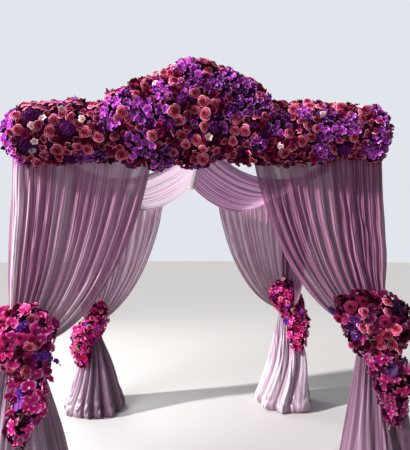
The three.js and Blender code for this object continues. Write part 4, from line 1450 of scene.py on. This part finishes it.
bouquetLook = {
    # flowers at places in the picture, for each bouquet
    "front_left": [
        ("moth", 1.0, [(27, 311), (39, 318), (46.6, 331), (22, 316), (36, 327.5), (31.4, 397), (34.7, 405.7),
                       (29, 386)]),
        ("moth", 0.85, [(41, 338), (45.5, 321), (10.8, 335), (36, 373), (41, 396)]),
        ("rose", 0.9, [(31.4, 320), (26, 371), (29.3, 346), (38, 344), (10.8, 368)]),
        ("crimsonRose", 0.9, [(2, 322), (31.4, 339), (20.6, 338.5), (3, 356), (8.7, 375.4), (4.3, 338)]),
        ("vanda", 1.0, [(43.4, 355.9), (47, 357), (20.6, 328.8), (19.5, 404.7), (36, 354), (20, 393)]),
        ("vanda", 0.7, [(25, 324.4)]),
        ("carnation", 1.0, [(10.8, 313.6), (20, 352), (27, 360), (45, 346), (22, 380)]),
        ("green", 1.0, [(16, 350), (30, 378), (24, 415)]),
    ],
    "front_right": [
        ("crimsonRose", 1.1, [(351, 307), (340, 318), (363, 302), (385, 322)]),
        ("moth", 0.95, [(369, 318), (362, 314), (383, 296)]),
        ("star", 1.45, [(384, 383), (376, 373), (385, 394), (392, 405.5), (401, 391), (408, 371), (381, 362)]),
        ("rose", 0.95, [(364.4, 313), (362, 327), (370, 328), (395.4, 328.6), (388.6, 334), (380.5, 344.6),
                        (392, 343.5), (401, 349), (387.4, 312.5), (387, 303)]),
        ("vanda", 1.1, [(397, 306), (356.4, 335), (355, 321), (392, 370), (352, 328), (404, 362)]),
        ("star", 1.1, [(387.4, 358.4), (394, 380), (385, 401), (374, 365)]),
        ("carnation", 1.1, [(402, 339), (404, 333), (373, 300), (358, 343), (369, 347)]),
        ("green", 1.0, [(369, 339), (370, 352), (374, 290)]),
    ],
    "rear_right": [
        ("blossom", 1.5, [(283.4, 277.7)]),
        ("crimsonRose", 0.95, [(283.4, 287), (290, 296.6), (286, 292)]),
        ("rose", 0.8, [(271.5, 290.5), (281, 298.8), (288, 303)]),
        ("vanda", 0.9, [(293.7, 288), (298.6, 294), (275.8, 296.6), (300.7, 310.7), (287, 305)]),
        ("moth", 1.0, [(279, 306.4), (275.8, 303), (293, 326), (290.4, 334.6), (299, 334.6)]),
        ("star", 1.0, [(287.7, 314), (305, 326), (303, 319), (294, 341), (302, 330), (306, 322)]),
        ("crimsonOrchid", 1.0, [(298.6, 319.4), (301, 327), (295, 343), (300, 340)]),
    ],
    "rear_left": [
        ("crimsonRose", 1.0, [(99.7, 304), (94.3, 310.4), (97.6, 318)]),
        ("rose", 0.8, [(101, 311), (92, 318), (89, 327)]),
        ("vanda", 0.85, [(103, 323), (85.6, 324.4), (98, 329)]),
        ("moth", 1.05, [(80.2, 332), (74.8, 333), (84.6, 338.5), (74.8, 343), (82.4, 346)]),
        ("green", 0.9, [(73, 347), (71, 350), (76, 337)]),
        ("blossom", 0.9, [(84, 337), (87, 348)]),
        ("crimsonOrchid", 1.2, [(84.6, 358), (86.7, 362), (90, 335), (93, 341), (88, 350)]),
        ("star", 1.0, [(81.3, 351.5), (77, 350), (88, 344)]),
    ],
    # hanging stems: flower along it, flower at its end, size, places in the picture
    "sprays": {
        "front_left": [("moth", "bud", 0.85, [(14, 372), (10, 386), (8, 399), (8, 412), (13, 424), (18, 436),
                                              (23, 447)]),
                       ("vanda", "violetBud", 0.62, [(44, 357), (50, 359), (56, 362), (61, 365)]),
                       ("moth", "bud", 0.8, [(38, 395), (41, 404), (42, 412), (44, 420)]),
                       ("bud", "paleBud", 0.9, [(20, 370), (13, 376), (8, 382)])],
        "front_right": [("star", "bud", 1.0, [(390, 398), (392, 406), (393, 414), (391, 422), (389, 430)]),
                        ("violetBud", "violetBud", 1.1, [(357, 334), (351, 332), (346, 330)])],
        "rear_right": [("star", "bud", 0.95, [(297, 336), (298, 343), (299, 350), (299, 356)]),
                       ("bud", "bud", 0.9, [(300, 320), (305, 321), (309, 322)]),
                       ("bud", "bud", 0.9, [(300, 328), (305, 330), (309, 331)])],
        "rear_left": [("crimsonOrchid", "bud", 0.8, [(85, 350), (86, 357), (87, 363), (87, 367)]),
                      ("bud", "paleBud", 0.9, [(80, 344), (75, 349), (70, 354)])],
    },
    # painted shade and light: each bouquet's flowers are set darker or brighter as if in shade or lit, the front
    # right one darkest
    "shade": perPost((0.50, 1.0), (0.02, 0.34), (0.85, 1.0), (0.85, 1.0)),
    "grow": perPost(1.0, 1.0, 1.25, 1.25), "crimson": perPost(2, 14, 16, 9),
    # the rest, in the order of planting: kind, room, most, whether in the upper part, depth, sizes
    "fill": [
        ("rose", 0.036, 6, True, 0.012, (0.8, 1.0)), ("crimsonRose", 0.036, 4, True, 0.012, (0.85, 1.0)),
        ("vanda", 0.032, 4, False, 0.0, (0.85, 1.05)), ("crimsonOrchid", 0.028, None, False, -0.004, (0.95, 1.15)),
        ("moth", 0.034, 40, False, -0.006, (0.85, 1.1)), ("crimsonSmall", 0.026, 8, False, 0.002, (0.85, 1.1)),
        ("star", 0.019, None, False, 0.004, (0.9, 1.25)), ("carnation", 0.017, None, False, 0.012, (0.8, 1.0)),
        ("darkOrchid", 0.012, None, False, 0.014, (0.8, 1.1)),
    ],
    # the bouquets' outlines in the picture: v, left u, right u, None where the picture ends first
    "outline": {
        "front_left": [(305, None, 34), (312, None, 42), (318, None, 48), (326, None, 52), (334, None, 51),
                       (342, None, 48), (350, None, 47), (358, None, 48), (366, None, 48), (375, None, 45),
                       (396, None, 44), (414, None, 43), (421, 3, 33), (430, 8, 26), (438, 12, 25)],
        "front_right": [(294, 356, None), (298, 344, None), (304, 339, None), (316, 339, None), (323, 346, None),
                        (338, 351, None), (351, 358, None), (359, 367, None), (369, 368, None), (387, 375, 409),
                        (400, 380, 404), (414, 384, 399), (427, 387, 394)],
        "rear_right": [(278, 280, 288), (282, 277, 291), (287, 270, 296), (294, 269, 300), (305, 274, 301),
                       (311, 279, 305), (317, 285, 307), (322, 288, 308), (330, 288, 307), (337, 287, 306),
                       (343, 289, 303), (352, 294, 301)],
        "rear_left": [(300, 97, 103), (305, 94, 105), (315, 90, 107), (320, 83, 107), (325, 77, 107), (329, 74, 103),
                      (334, 73, 99), (339, 73, 94), (345, 73, 91), (351, 75, 91), (358, 78, 90), (364, 82, 89)],
    },
    "heightsAt": 200,      # the column of pixels that the heights are read in
    "upperFrom": 0.55, "fillTilt": 0.35, "fillDarker": 0.7,
    "candidates": 5200, "clearance": 0.035, "inset": 0.026,
}


def onPlane(u, v, y):
    # where a pixel's ray meets an upright plane that faces the front
    eye, ray = Vector(camera["eye"]), rayThrough(u, v)
    return eye + ray * ((y - eye.y) / ray.y)


def sliceSides(points, triangles, heights):
    # the shape's lowest and highest x at each height
    edges = np.concatenate([triangles[:, [0, 1]], triangles[:, [1, 2]], triangles[:, [2, 0]]])
    a, b = points[edges[:, 0]], points[edges[:, 1]]
    sides = []
    for z in heights:
        cut = (a[:, 2] - z) * (b[:, 2] - z) < 0
        t = ((z - a[cut, 2]) / (b[cut, 2] - a[cut, 2]))[:, None]
        x = (a[cut] + t * (b[cut] - a[cut]))[:, 0]
        sides.append((x.min(), x.max()))
    return np.array(sides).T


def drawnIn(points, triangles, post):
    # the bouquet's solid, with its sides, top and bottom brought to the outline in the picture
    low, high = points.min(axis=0), points.max(axis=0)
    rows = bouquetLook["outline"][post]
    middle = (low[1] + high[1]) / 2
    heights = np.array([onPlane(bouquetLook["heightsAt"], v, middle).z for v, _, _ in rows])[::-1]
    moved = points.copy()
    moved[:, 2] = mix(heights[0], heights[-1], (points[:, 2] - low[2]) / (high[2] - low[2]))
    inner = np.clip(heights, heights[0] + 0.012, heights[-1] - 0.012)
    own = sliceSides(moved, triangles, inner)
    wanted = [[side if row[1 + k] is None else onPlane(row[1 + k], row[0], middle).x
               for row, side in zip(rows, sides[::-1])][::-1] for k, sides in enumerate(own)]
    z = moved[:, 2]
    left, right = (np.interp(z, inner, side) for side in own)
    share = (moved[:, 0] - left) / np.maximum(right - left, 0.01)
    moved[:, 0] = mix(np.interp(z, inner, wanted[0]), np.interp(z, inner, wanted[1]), share)
    return moved


def bouquetFlowers(post, index):
    look, node, rng = bouquetLook, f"bouquet_{post}", np.random.default_rng(700 + index)
    places, ways = openSurface(node, look["candidates"], rng, look["clearance"])
    low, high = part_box(node)
    upper = (places[:, 2] - low.z) / (high.z - low.z) > look["upperFrom"]
    heap, spacing = Heap(rng), Spacing()
    shade, grow = look["shade"][post], look["grow"][post]
    plantSpots(heap, look[post], treeOf([shapeOf(node)]), spacing, shade)
    behind = treeOf([shapeOf(node)] + [nodeArrays(n) for n in otherNodes if n.startswith(("tail_", "curtain_"))])
    for kind, last, size, pixels in look["sprays"][post]:
        plantSpray(heap, behind, shade, kind, last, size, pixels)
    for kind, room, limit, isUpper, depth, size in look["fill"]:
        if kind == "crimsonOrchid":
            limit = look["crimson"][post]
        picks = spacing.choose(places, room * grow, upper if isUpper else None, limit)
        sizes = grow * rng.uniform(*size, len(picks))
        heap.plant(kind, places[picks], ways[picks], depth, look["fillTilt"], sizes,
                   (look["fillDarker"] * shade[0], shade[1]))
    picks = Spacing().choose(places, 0.030)
    heap.plant("leaves", places[picks], ways[picks], 0.020, 0.3, (0.8, 1.1), (0.2, 0.8))
    flowerPiece(node, heap, look["inset"])


for index, post in enumerate(postNames):
    bouquetFlowers(post, index)
